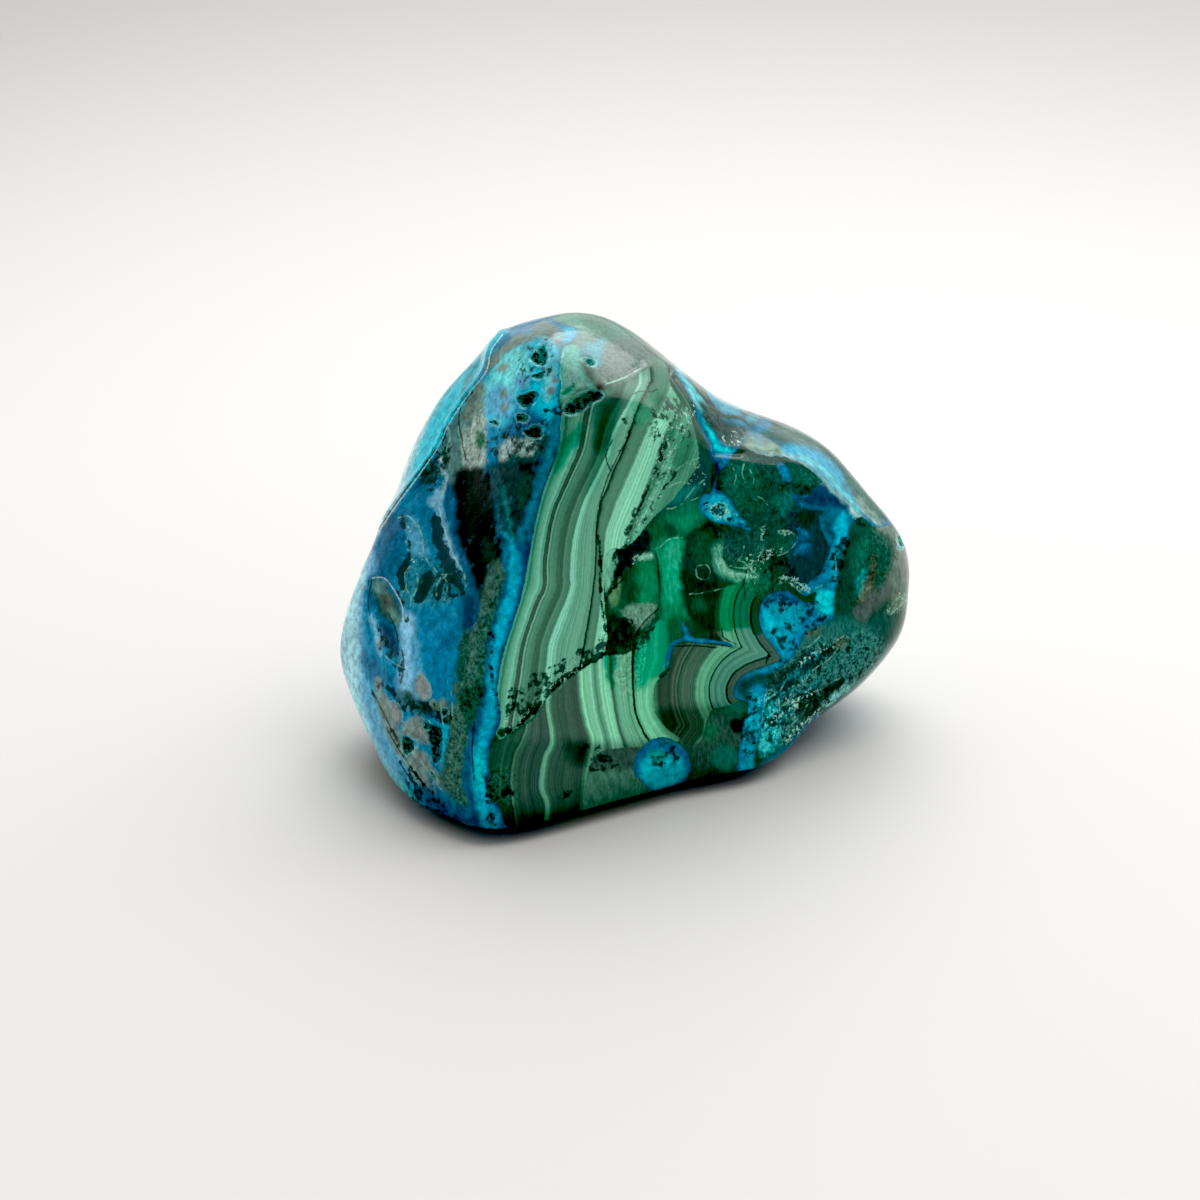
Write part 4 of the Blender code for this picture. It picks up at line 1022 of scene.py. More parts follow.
def nearest_line(chart, lines):
    """Step to the nearest of several lines, across and down, and its length."""
    length = np.full(len(chart), FAR_PX)
    steps = np.zeros((len(chart), 3))
    for line in lines:
        run = curve_through(line)
        near = np.flatnonzero(near_run(chart, run))
        for start, end in zip(run[:-1], run[1:]):
            gap = steps_to_segment(chart[near], start, end)
            reach = np.linalg.norm(gap, axis=1)
            closer = reach < length[near]
            length[near[closer]] = reach[closer]
            steps[near[closer], :2] = gap[closer]
    steps[:, 2] = length
    return steps


def inside_outline(chart, outline):
    """Distance to a closed outline, positive inside it."""
    inside = np.zeros(len(chart), dtype=bool)
    for start, end in zip(outline, np.roll(outline, -1, axis=0)):
        spans = (start[1] > chart[:, 1]) != (end[1] > chart[:, 1])
        rise = end[1] - start[1]
        if rise == 0.0:
            continue
        crossing = start[0] + (chart[:, 1] - start[1]) * (end[0] - start[0]) / rise
        inside ^= spans & (chart[:, 0] < crossing)
    distance = run_distance(chart, np.vstack((outline, outline[:1])))
    return np.where(inside, distance, -distance)


def right_of_contour(chart, run):
    """How far each place lies to the right of a contour that is drawn out up and down."""
    line = curve_through(run)
    top = (line[0][0] - CONTOUR_LEAN, line[0][1] - FAR_OFF_PX)
    foot = (line[-1][0], line[-1][1] + FAR_OFF_PX)
    corners = ((-FAR_OFF_PX, 2.0 * FAR_OFF_PX), (-FAR_OFF_PX, -FAR_OFF_PX))
    return -inside_outline(chart, np.vstack((top, line, foot, *corners)))


def band_level(chart, bands):
    """How far across a set of contours each place lies, in the contours' own levels."""
    levels = [level for level, _run in bands]
    gaps = [right_of_contour(chart, run) for _level, run in bands]
    level = levels[0] + gaps[0]
    for index in range(len(bands) - 1):
        behind = gaps[index]
        spacing = behind - gaps[index + 1]
        share = behind / np.where(spacing == 0.0, 1.0, spacing)
        width = levels[index + 1] - levels[index]
        between = levels[index] + width * np.clip(share, 0.0, 1.0)
        level = np.where(behind > 0.0, between, level)
    return np.where(gaps[-1] > 0.0, levels[-1] + gaps[-1], level)


def lattice_noise(points, cell, seed):
    """Smooth noise between about -1 and 1 in space, with cells of the given size."""
    shuffle = np.random.default_rng(seed).permutation(256)
    slopes = unit(np.random.default_rng(seed + 1).normal(size=(256, 3)))
    places = points / cell
    corner = np.floor(places).astype(int)
    part = places - corner
    fade = part ** 3 * (part * (part * 6.0 - 15.0) + 10.0)
    total = np.zeros(len(points))
    for step in np.ndindex(2, 2, 2):
        key = shuffle[(corner[:, 0] + step[0]) & 255]
        key = shuffle[(key + corner[:, 1] + step[1]) & 255]
        key = shuffle[(key + corner[:, 2] + step[2]) & 255]
        weight = np.prod(np.where(step, fade, 1.0 - fade), axis=1)
        total += weight * np.einsum("ij,ij->i", slopes[key], part - step)
    return NOISE_GAIN * total


def cloudy_noise(points, cell, seed, layers=3):
    """Noise with finer noise added on top, each half as large and half as strong."""
    total = np.zeros(len(points))
    for layer in range(layers):
        total += lattice_noise(points, cell / 2 ** layer, seed + 10 * layer) / 2 ** layer
    return total


def pigment(colour):
    """Base colour that the photograph's lighting turns into the given sRGB colour."""
    shown = np.asarray(colour, dtype=float) / 255.0
    curved = ((np.maximum(shown, 0.0) + 0.055) / 1.055) ** 2.4
    linear = np.where(shown <= 0.04045, shown / 12.92, curved)
    return np.clip((linear + SEEN_LIFT) / SEEN_GAIN, DARKEST, LIGHTEST)


# ---------------------------------------------------------------- the bare stone
def patch_sphere(cells):
    """Directions and quads of a closed sphere made of six square patches."""
    steps = np.tan(np.linspace(-1.0, 1.0, cells + 1) * np.pi / 4.0)
    first, second = np.meshgrid(steps, steps, indexing="ij")
    corner = np.arange((cells + 1) ** 2).reshape(cells + 1, cells + 1)
    quads = np.stack([corner[:-1, :-1], corner[1:, :-1], corner[1:, 1:], corner[:-1, 1:]],
                     axis=-1).reshape(-1, 4)
    all_points = []
    all_quads = []
    for axis in range(3):
        for side in (-1.0, 1.0):
            points = np.empty((cells + 1, cells + 1, 3))
            points[..., axis] = side
            points[..., (axis + 1) % 3] = first * side
            points[..., (axis + 2) % 3] = second
            all_quads.append(quads + len(all_points) * (cells + 1) ** 2)
            all_points.append(points.reshape(-1, 3))
    points = np.concatenate(all_points)
    _keys, keep, same = np.unique(np.round(points, 6), axis=0, return_index=True,
                                  return_inverse=True)
    return unit(points[keep]), same.reshape(-1)[np.concatenate(all_quads)]


def pull_to_front(directions):
    """Turn the sphere's +Z pole to the camera and pack the directions around it."""
    height = np.clip(directions[:, 2], -1.0, 1.0)
    polar = 2.0 * np.arctan(FRONT_PULL * np.tan(np.arccos(height) / 2.0))
    round_about = np.arctan2(directions[:, 1], directions[:, 0])
    right = np.sin(polar) * np.cos(round_about)
    up = np.sin(polar) * np.sin(round_about)
    return (right[:, None] * PICTURE_RIGHT + up[:, None] * PICTURE_UP
            + np.cos(polar)[:, None] * TOWARDS_CAMERA)


def cubed_distance(directions_a, directions_b):
    """Cubed distance between every pair of directions."""
    gap = np.clip(2.0 - 2.0 * (directions_a @ directions_b.T), 0.0, None)
    return gap * np.sqrt(gap)


def surface_radius(directions):
    """Distance from the heart to the smooth surface through the CAD node's own points."""
    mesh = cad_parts["stone"].data
    points = np.array([vertex.co for vertex in mesh.vertices]) / MM
    points = np.unique(np.round(points, 4), axis=0)
    points = points[points[:, 2] > FOOT_HEIGHT]
    offsets = points - HEART
    distances = np.linalg.norm(offsets, axis=1)
    anchors = offsets / distances[:, None]
    count = len(anchors)
    system = np.zeros((count + 1, count + 1))
    system[:count, :count] = cubed_distance(anchors, anchors)
    system[:count, count] = 1.0
    system[count, :count] = 1.0
    weights = np.linalg.solve(system, np.append(distances, 0.0))
    radii = np.empty(len(directions))
    for start in range(0, len(directions), BATCH):
        part = slice(start, start + BATCH)
        radii[part] = cubed_distance(directions[part], anchors) @ weights[:count]
    return radii + weights[count]


def swell_foot(directions, radii):
    """Radii with the front foot's swelling, which dies out upwards and to the back."""
    height = np.clip(HEART[2] + directions[:, 2] * radii, 0.0, None)
    flare = np.interp(HEART[0] + directions[:, 0] * radii, *zip(*FOOT_FLARES))
    flare *= smooth_step(*FOOT_FLARE_FRONT, -directions[:, 1])
    return radii + flare * np.exp(-height / FOOT_FLARE_HEIGHT)


def rest_on_floor(directions, radii):
    """Radii cut off by the slightly raised underside, with a worn edge around it."""
    drop = np.clip(-directions[:, 2], LEAST_DROP, None)
    below = HEART[:2] + directions[:, :2] * (HEART[2] / drop)[:, None]
    reach = np.linalg.norm((below - BASE_CENTRE) / BASE_REACH, axis=1)
    to_floor = (HEART[2] - BASE_LIFT * smooth_step(*BASE_RISE, reach)) / drop
    gap = np.abs(radii - to_floor)
    rounding = FOOT_ROUNDING * np.log1p(np.exp(-gap / FOOT_ROUNDING))
    return np.minimum(radii, to_floor) - rounding


def smooth_stone():
    """Points and quads of the bare stone, standing flat on Z = 0."""
    directions, quads = patch_sphere(GRID_CELLS)
    directions = pull_to_front(directions)
    radii = rest_on_floor(directions, swell_foot(directions, surface_radius(directions)))
    points = HEART + directions * radii[:, None]
    corners = points[quads[0]]
    facing = np.cross(corners[1] - corners[0], corners[2] - corners[0]) @ (corners[0] - HEART)
    if facing < 0:
        quads = quads[:, ::-1]
    return points, quads


def point_normals(points, quads):
    """Outward normal at each point, from the faces around it."""
    diagonal_a = points[quads[:, 2]] - points[quads[:, 0]]
    diagonal_b = points[quads[:, 3]] - points[quads[:, 1]]
    face_normals = np.cross(diagonal_a, diagonal_b)
    normals = np.zeros_like(points)
    for corner in range(4):
        np.add.at(normals, quads[:, corner], face_normals)
    return unit(normals)


def facing_camera(points, normals):
    """1 where the surface faces the photograph's camera, -1 where it faces away."""
    return np.einsum("ij,ij->i", normals, unit(CAMERA_PLACE - points))


def carve_details(points, normals):
    """Press the ridges, valleys and vugs of the front into the bare stone."""
    chart = project(points)
    shown = smooth_step(*CARVED_FACING, facing_camera(points, normals))
    push = np.zeros(len(points))
    for sign, marks in ((1.0, RAISED), (-1.0, SUNK)):
        for run, half_width, height in marks:
            gap = run_distance(chart, curve_through(run)) / half_width
            push += sign * height * np.clip(1.0 - gap, 0.0, None) ** RELIEF_POWER
    wobble, wobble_cell = VUG_WOBBLE
    ragged = chart + wobble * np.stack((lattice_noise(points, wobble_cell, 5),
                                        lattice_noise(points, wobble_cell, 7)), axis=1)
    bumps, bump_cell = VUG_FLOOR
    floor = 1.0 + bumps * lattice_noise(points, bump_cell, 9)
    for outline, depth in VUGS:
        field = inside_outline(ragged, curve_through(outline, closed=True))
        push -= depth * floor * smooth_step(*VUG_SLOPE, field)
    ripple = sum(height * lattice_noise(points, cell, seed) for height, cell, seed in RIPPLES)
    above_foot = smooth_step(*DETAIL_HEIGHT, points[:, 2])
    return points + normals * ((push * shown + ripple) * above_foot)[:, None]


# ---------------------------------------------------------------- painting
class Painting:
    """Colours and mark fields at the stone's points; the fields are in picture pixels."""

    def __init__(self, points, normals):
        self.points = points
        self.chart = project(points)
        self.shown = smooth_step(*PAINTED_FACING, facing_camera(points, normals))
        drift = np.stack([cloudy_noise(points, DRIFT_CELL, seed) for seed in (21, 23)], axis=1)
        self.ragged = self.chart + RAGGED_PX * drift
        self.wavy = self.chart + WAVY_PX * drift
        # light that up and right faces get more of, taken out of their colours, plus the painted shade
        # that darkens the foot near the floor
        light_and_foot_shade = (TOP_GAIN * smooth_step(*TOP_FACING, normals[:, 2])
                    + RIGHT_GAIN * smooth_step(*RIGHT_FACING, normals[:, 0])
                    + FOOT_SHADE_GAIN * smooth_step(*FOOT_SHADE_RISE, points[:, 2])
                    * smooth_step(*FOOT_SHADE_ACROSS, points[:, 0]))
        self.gain = 1.0 + light_and_foot_shade[:, None] * self.shown[:, None]
        self.colours = {}
        self.fields = {}

    def inside(self, outline, ragged=True):
        """Distance inside a rounded outline; places far from it are only called far."""
        chart = self.ragged if ragged else self.wavy
        outline = curve_through(outline, closed=True)
        near = near_run(chart, outline)
        distance = np.full(len(chart), -FAR_PX)
        distance[near] = np.maximum(inside_outline(chart[near], outline), -FAR_PX)
        return distance

    def cover(self, soft, outline):
        """How much of each place a soft-edged patch covers."""
        return smooth_step(-soft, soft, self.inside(outline))[:, None]

    def paint(self, layer, ground, entries):
        """Lay soft-edged patches of colour over a plain ground, in order."""
        colours = np.tile(pigment(ground), (len(self.points), 1))
        for colour, soft, outline in entries:
            colours += (pigment(colour) - colours) * self.cover(soft, outline)
        self.colours[layer] = colours / self.gain

    def tint_and_shade(self):
        """The glazes over the malachite bands, with their painted shade towards the foot, as shares of
        red, green and blue.
        """
        glaze_and_shade = np.ones((len(self.points), 3))
        for red, green, blue, soft, outline in GLAZES_AND_FOOT_SHADE:
            glaze_and_shade *= 1.0 + (np.array((red, green, blue)) - 1.0) * self.cover(soft, outline)
        self.colours["glaze_and_shade"] = glaze_and_shade / self.gain

    def gather(self, patches, runs=()):
        """The largest of several mark fields, each positive inside its own mark."""
        field = np.full(len(self.points), NO_MARK)
        for swell, outline in patches:
            field = np.maximum(field, np.minimum(self.inside(outline), swell))
        for half_width, run in runs:
            gap = run_distance(self.wavy, curve_through(run))
            field = np.maximum(field, half_width - gap)
        return field


def band_fields(painting):
    """Levels and outlines of the malachite fields and of the orb."""
    fields = painting.fields
    chart = painting.chart
    fields["band_a"] = band_level(chart, BANDS_A)
    fields["band_b"] = band_level(chart, BANDS_B)
    fields["band_w"] = -inside_outline(chart, curve_through(WAVE_SHORE, closed=True))
    offset = chart - ORB_HEART
    offset[:, 1] *= np.where(offset[:, 1] < 0.0, ORB_STRETCH, 1.0)
    fields["orb"] = np.linalg.norm(offset, axis=1)
    for name, zone in (("a", ZONE_A), ("b", ZONE_B), ("w", ZONE_W), ("orb", ZONE_ORB)):
        fields["zone_" + name] = painting.inside(zone, ragged=False)


def paint_front(painting):
    """Everything that the photograph shows, laid out on its own pixels."""
    painting.paint("over", AZURE, OVER_PATCHES)
    painting.paint("under", DEEP_GREEN, UNDER_PATCHES)
    painting.tint_and_shade()
    band_fields(painting)
    fields = painting.fields
    fields["blue"] = np.full(len(painting.points), NO_FIELD)
    for outline in BLUE_OUTLINES:
        fields["blue"] = np.maximum(fields["blue"], painting.inside(outline, ragged=False))
    # painted highlight: distance to the glint lines
    fields["glint_line"] = nearest_line(painting.chart, GLINT_LINES)
    fields["pale_line"] = nearest_line(painting.wavy, PALE_LINES)
    fields["dark_line"] = nearest_line(painting.wavy, DARK_LINES)
    fields["dark"] = painting.gather(DARK_PATCHES, DARK_RUNS)
    fields["vug"] = painting.gather([(CLOSED, outline) for outline, _depth in VUGS])
    fields["pale"] = painting.gather(PALE_PATCHES)
    fields["grain"] = np.full(len(painting.points), BARE_GRAIN)
    for strength, outline in GRAINY:
        grain = strength * painting.cover(GRAIN_FADE, outline)[:, 0]
        fields["grain"] = np.maximum(fields["grain"], grain)


def cloudy_colours(points, ground, clouds):
    """A ground colour with clouds of other colours over it, in order."""
    mixed = np.tile(pigment(ground), (len(points), 1))
    for colour, cell, seed, start, full in clouds:
        cover = smooth_step(start, full, cloudy_noise(points, cell, seed))
        mixed += (pigment(colour) - mixed) * cover[:, None]
    return mixed


def hidden_fields(painting):
    """Fields for the sides that the photograph doesn't show; the waves follow the blue there."""
    points = painting.points
    blue = cloudy_noise(points + HIDDEN_SHIFT, *HIDDEN_BLUE)
    for share, cell, seed in HIDDEN_SHORES:
        blue += share * cloudy_noise(points, cell, seed)
    blue *= HIDDEN_REACH
    fields = {"blue": blue, "band_w": HIDDEN_BAND_START - blue, "vug": NO_MARK}
    for name in ("zone_a", "zone_b", "zone_orb"):
        fields[name] = NO_FIELD
    for name, reach, level, cell, seed in HIDDEN_MARKS:
        fields[name] = reach * (cloudy_noise(points, cell, seed) - level)
    strength, start, full, cell, seed = HIDDEN_GRAIN
    rough = smooth_step(start, full, cloudy_noise(points, cell, seed))
    fields["grain"] = BARE_GRAIN + strength * rough
    return fields


def paint_hidden(painting):
    """The sides that the photograph doesn't show, in the same family of markings."""
    hidden = 1.0 - painting.shown
    for name, field in hidden_fields(painting).items():
        painting.fields[name] = painting.fields[name] * painting.shown + field * hidden
    for name in ("glint_line", "pale_line", "dark_line"):
        painting.fields[name][:, 2] += FAR_PX * hidden
    for name, ground, clouds in (("over", AZURE, HIDDEN_OVER), ("under", DEEP_GREEN, HIDDEN_UNDER)):
        colours = HIDDEN_TONE * cloudy_colours(painting.points, ground, clouds)
        painting.colours[name] += (colours - painting.colours[name]) * hidden[:, None]
    glaze_and_shade = painting.colours["glaze_and_shade"]
    glaze_and_shade += (HIDDEN_TONE - glaze_and_shade) * hidden[:, None]


def store_painting(data, painting):
    """Keep the painting's colours and fields as attributes of the mesh."""
    for name, colours in painting.colours.items():
        layer = data.color_attributes.new(name, "FLOAT_COLOR", "POINT")
        rows = np.ones((len(colours), 4))
        rows[:, :3] = colours
        layer.data.foreach_set("color", rows.reshape(-1))
    for name, field in painting.fields.items():
        if field.ndim == 2:
            layer = data.attributes.new(name, "FLOAT_VECTOR", "POINT")
            layer.data.foreach_set("vector", field.reshape(-1))
        else:
            layer = data.attributes.new(name, "FLOAT", "POINT")
            layer.data.foreach_set("value", np.asarray(field, dtype=np.float32))


# ---------------------------------------------------------------- numbers of the stone's material
# Noises: cells per millimetre, detail, roughness, and below 1 drawn out upwards.
NOISES = {
    "finest": (3.2, 3.0, 0.5, 1.0),
    "flecks": (2.3, 2.0, 0.5, 0.7),
    "middling": (0.8, 3.0, 0.5, 1.0),
    "streaks": (2.0, 4.0, 0.6, 0.3),
    "clouds": (0.9, 5.0, 0.6, 1.0),
    "veils": (0.55, 5.0, 0.5, 0.5),
    "shore": (1.2, 5.0, 0.65, 1.0),
    "crumbs": (0.75, 5.0, 0.62, 1.0),
    "chalk": (1.7, 5.0, 0.7, 1.0),
    "wisps": (0.42, 4.0, 0.6, 1.0),
}
NOISE_LOW, NOISE_HIGH = 0.3, 0.7              # nearly all of a noise lies between these
PATCHY = (0.42, 0.58)                         # noise levels between which a mark comes and goes
# Growth lines between the bands: lines per pixel, detail, darkest and lightest shade.
GROWTH_LINES = ((0.55, 2.0, 0.80, 1.18), (0.16, 1.0, 0.88, 1.1))
GROWTH_ALONG = 0.6                            # how much the lines change along the bands
BAND_WAVES = (("middling", 1.8), ("finest", 0.4))     # px that the bands wobble by
ZONE_RAGGED = 3.0                             # px that the malachite fields' edges wobble by
ZONE_SOFT = 0.8                               # px, half width of their soft edge
SHORE_RAGGED = 5.0                            # px that the edge of the blue wobbles by
SHORE_SOFT = 0.6                              # px, half width of its soft edge
SHADOW_RAGGED = 8.0                           # px that the navy shadow along the shore wobbles by
SHADOW_WIDTH = 3.5                            # px, width of that shadow
SHADOW_STRENGTH = 0.5
STREAK_SHADES = (0.75, 1.25)
CLOUD_SHADES = (0.68, 1.30)
VEIL_NOISE = (0.56, 0.70)                     # noise levels where a veil begins and where it is full
VEIL_STRENGTH = 0.14
RINGS_PER_PX = 1.9                            # radians of the ring wave per pixel
RING_CREST = (0.7, 0.98)                      # part of the wave that shows as a ring
RING_STRENGTH = 0.22
RING_EDGE = (-1.0, 3.0)                       # px inside the orb where the rings fade in
GRAIN_SHADE = 6.0                             # how strongly the grain darkens and lightens
GRAIN_DARKEST = 0.12
WISP_WIDTH = (0.004, 0.014)                   # steps of noise beside a wisp's middle
WISP_STRENGTH = 0.35
WISP_GRAIN = (0.35, 0.6)                      # grain where wisps begin and where they are full
# Crumbly marks: field, noise that breaks its edge and by how many pixels, levels where the mark
# begins and where it is full, strength.
DARK_CRUMBS = ("dark", "crumbs", 11.0, -0.3, 0.9, 0.9)
# vugs: their dark floors with painted shade in the hollows
VUG_HOLES = ("vug", "finest", 4.0, 0.0, 1.6, 1.0)
VUG_EDGES = ("vug", "chalk", 7.0, -1.8, -0.4, 0.3)
PALE_CRUMBS = ("pale", "chalk", 11.0, 0.3, 1.5, 0.8)
VUG_CRUST_NOISE = (0.44, 0.56)
# Thin lines: field, noise that breaks the line, px from its middle where it is full and where it
# ends, strength.
CRACKS = ("dark_line", "chalk", 0.3, 1.2, 0.8)
VEINLETS = ("pale_line", "chalk", 0.2, 1.2, 1.0)
VEINLET_FADE = (0.05, 0.45)                   # weakest and strongest part of a veinlet
# Painted highlight: the glints along the ridge's crest.
GLINTS = ("glint_line", "finest", 0.1, 1.0, 0.6)
LINE_RAGGED = 2.4                             # px that thin lines wobble by
LINE_SLACK = 1.2                              # px that a line's two measures may differ by
POLISH_ROUGHNESS = (0.10, 0.2)
CRUMB_ROUGHNESS = 0.35
VUG_ROUGHNESS = 0.6
STONE_IOR = 1.5
STONE_SPECULAR = 0.24
RELIEF_STRENGTH = 0.5
RELIEF_DEPTH = 0.08                           # mm, height of the finest relief
VUG_RELIEF = 3.0                              # shares of that height
POLISH_RELIEF = 0.10


# ---------------------------------------------------------------- the stone's material
class Graph:
    """Short calls for a material's node tree."""

    def __init__(self, material):
        self.tree = material.node_tree
        self.shader = self.tree.nodes["Principled BSDF"]
        self.place = self.add("ShaderNodeTexCoord").outputs["Object"]

    def add(self, kind):
        """A new node."""
        return self.tree.nodes.new(kind)

    def feed(self, socket, value):
        """Link a socket to another one, or set its value."""
        if isinstance(value, bpy.types.NodeSocket):
            self.tree.links.new(value, socket)
        else:
            socket.default_value = value

    def math(self, operation, first, second=0.0):
        """One step of arithmetic."""
        node = self.add("ShaderNodeMath")
        node.operation = operation
        self.feed(node.inputs[0], first)
        self.feed(node.inputs[1], second)
        return node.outputs[0]

    def step(self, value, low, high, start=0.0, end=1.0):
        """A smooth change from start to end while the value goes from low to high."""
        node = self.add("ShaderNodeMapRange")
        node.interpolation_type = "SMOOTHSTEP"
        for name, number in (("From Min", low), ("From Max", high), ("To Min", start),
                             ("To Max", end)):
            node.inputs[name].default_value = number
        self.feed(node.inputs["Value"], value)
        return node.outputs["Result"]

    def mix(self, factor, first, second, blend="MIX"):
        """Two colours mixed by a factor."""
        node = self.add("ShaderNodeMix")
        node.data_type = "RGBA"
        node.blend_type = blend
        self.feed(node.inputs["Factor"], factor)
        self.feed(node.inputs[6], first)
        self.feed(node.inputs[7], second)
        return node.outputs[2]

    def coat(self, factor, below, colour):
        """A plain mark colour over what lies below, as far as the factor says."""
        return self.mix(factor, below, (*pigment(colour), 1.0))

    def shaded(self, colour, shade):
        """A colour made darker or lighter by a factor."""
        grey = self.add("ShaderNodeCombineColor")
        for channel in ("Red", "Green", "Blue"):
            self.feed(grey.inputs[channel], shade)
        return self.mix(1.0, colour, grey.outputs["Color"], "MULTIPLY")

    def noise(self, vector, scale, detail, roughness=0.5, upwards=1.0):
        """Noise along a vector; below 1 it is drawn out upwards."""
        shape = self.add("ShaderNodeMapping")
        shape.inputs["Scale"].default_value = (1.0, 1.0, upwards)
        self.feed(shape.inputs["Vector"], vector)
        node = self.add("ShaderNodeTexNoise")
        node.inputs["Scale"].default_value = scale
        node.inputs["Detail"].default_value = detail
        node.inputs["Roughness"].default_value = roughness
        self.feed(node.inputs["Vector"], shape.outputs["Vector"])
        return node.outputs["Fac"]


class StoneGraph(Graph):
    """A node tree that also knows the stone's noises and the fields stored on its mesh."""

    def __init__(self, material):
        super().__init__(material)
        self.noises = {}
        for name, (cells, detail, roughness, upwards) in NOISES.items():
            self.noises[name] = self.noise(self.place, cells / MM, detail, roughness, upwards)

    def stored(self, name, output="Fac"):
        """A field or colour that the painting left on the mesh."""
        node = self.add("ShaderNodeAttribute")
        node.attribute_name = name
        return node.outputs[output]

    def vary(self, noise, low, high):
        """A number between low and high that follows a noise."""
        return self.step(self.noises[noise], NOISE_LOW, NOISE_HIGH, low, high)

    def ragged(self, value, noise, reach):
        """A value moved up and down by a noise, by half of its reach each way."""
        moved = self.math("MULTIPLY", self.math("SUBTRACT", self.noises[noise], 0.5), reach)
        return self.math("ADD", value, moved)

    def mark(self, field, noise, reach, start, full, strength):
        """How strongly a crumbly mark shows."""
        level = self.ragged(self.stored(field), noise, reach)
        return self.step(level, start, full, 0.0, strength)

    def line(self, field, noise, full, end, strength):
        """How strongly the nearest thin line of a set shows."""
        parts = self.add("ShaderNodeSeparateXYZ")
        self.feed(parts.inputs[0], self.stored(field, "Vector"))
        across = self.math("POWER", parts.outputs["X"], 2.0)
        down = self.math("POWER", parts.outputs["Y"], 2.0)
        gap = self.math("SQRT", self.math("ADD", across, down))
        least = self.math("SUBTRACT", parts.outputs["Z"], LINE_SLACK)
        gap = self.ragged(self.math("MAXIMUM", gap, least), noise, LINE_RAGGED)
        return self.step(gap, full, end, strength, 0.0)

    def ramp(self, level, stops):
        """Colours by level; the levels are in pixels across the bands."""
        span = stops[-1][0]
        node = self.add("ShaderNodeValToRGB")
        elements = node.color_ramp.elements
        elements.remove(elements[1])
        for index, (place, colour) in enumerate(stops):
            element = elements[0] if index == 0 else elements.new(place / span)
            element.position = place / span
            element.color = (*pigment(colour), 1.0)
        self.feed(node.inputs["Fac"], self.math("DIVIDE", level, span))
        return node.outputs["Color"]


def banded(graph, level, stops):
    """One field of malachite: its ramp of bands and the thin growth lines between them."""
    for noise, reach in BAND_WAVES:
        level = graph.ragged(level, noise, reach)
    across = graph.add("ShaderNodeCombineXYZ")
    graph.feed(across.inputs["X"], level)
    graph.feed(across.inputs["Y"], graph.math("MULTIPLY", graph.noises["middling"], GROWTH_ALONG))
    colour = graph.ramp(level, stops)
    shade = 1.0
    for per_pixel, detail, darkest, lightest in GROWTH_LINES:
        lines = graph.noise(across.outputs["Vector"], per_pixel, detail)
        shades = graph.step(lines, NOISE_LOW, NOISE_HIGH, darkest, lightest)
        shade = graph.math("MULTIPLY", shades, shade)
    return graph.shaded(colour, shade)


def orb_rings(graph, colour):
    """Faint rings around the heart of the dark orb."""
    wave = graph.math("SINE", graph.math("MULTIPLY", graph.stored("orb"), RINGS_PER_PX))
    rings = graph.math("MULTIPLY", graph.step(wave, *RING_CREST, 0.0, RING_STRENGTH),
                       graph.step(graph.noises["middling"], *PATCHY, 0.2, 1.0))
    inside = graph.step(graph.stored("zone_orb"), *RING_EDGE)
    return graph.coat(graph.math("MULTIPLY", rings, inside), colour, RING_GREEN)


def under_colour(graph):
    """Green ground: dark rock, emerald and the three fields of malachite bands."""
    colour = graph.shaded(graph.stored("under", "Color"), graph.vary("streaks", *STREAK_SHADES))
    colour = orb_rings(graph, colour)
    for name, stops in (("b", STOPS_B), ("w", STOPS_W), ("a", STOPS_A)):
        bands = banded(graph, graph.stored("band_" + name), stops)
        # glazes, with the painted shade towards the foot
        bands = graph.mix(1.0, bands, graph.stored("glaze_and_shade", "Color"), "MULTIPLY")
        zone = graph.ragged(graph.stored("zone_" + name), "finest", ZONE_RAGGED)
        colour = graph.mix(graph.step(zone, -ZONE_SOFT, ZONE_SOFT), colour, bands)
    return colour


def over_colour(graph):
    """Blue chrysocolla with clouds and thin pale veils, darker where it meets the green."""
    colour = graph.shaded(graph.stored("over", "Color"), graph.vary("clouds", *CLOUD_SHADES))
    veil = graph.step(graph.noises["veils"], *VEIL_NOISE, 0.0, VEIL_STRENGTH)
    colour = graph.coat(veil, colour, LAVENDER)
    shore = graph.ragged(graph.stored("blue"), "middling", SHADOW_RAGGED)
    return graph.coat(graph.step(shore, 0.0, SHADOW_WIDTH, SHADOW_STRENGTH, 0.0), colour, NAVY)


def add_grain(graph, colour):
    """Chalky grain on rough ground, with thin pale wisps through it."""
    grain = graph.stored("grain")
    chalk = graph.math("SUBTRACT", graph.noises["chalk"], 0.5)
    shade = graph.math("MULTIPLY", graph.math("MULTIPLY", chalk, grain), GRAIN_SHADE)
    shade = graph.math("MAXIMUM", graph.math("ADD", shade, 1.0), GRAIN_DARKEST)
    middle = graph.math("ABSOLUTE", graph.math("SUBTRACT", graph.noises["wisps"], 0.5))
    wisps = graph.math("MULTIPLY", graph.step(middle, *WISP_WIDTH, WISP_STRENGTH, 0.0),
                       graph.step(grain, *WISP_GRAIN))
    return graph.coat(wisps, graph.shaded(colour, shade), WISP_GREEN)


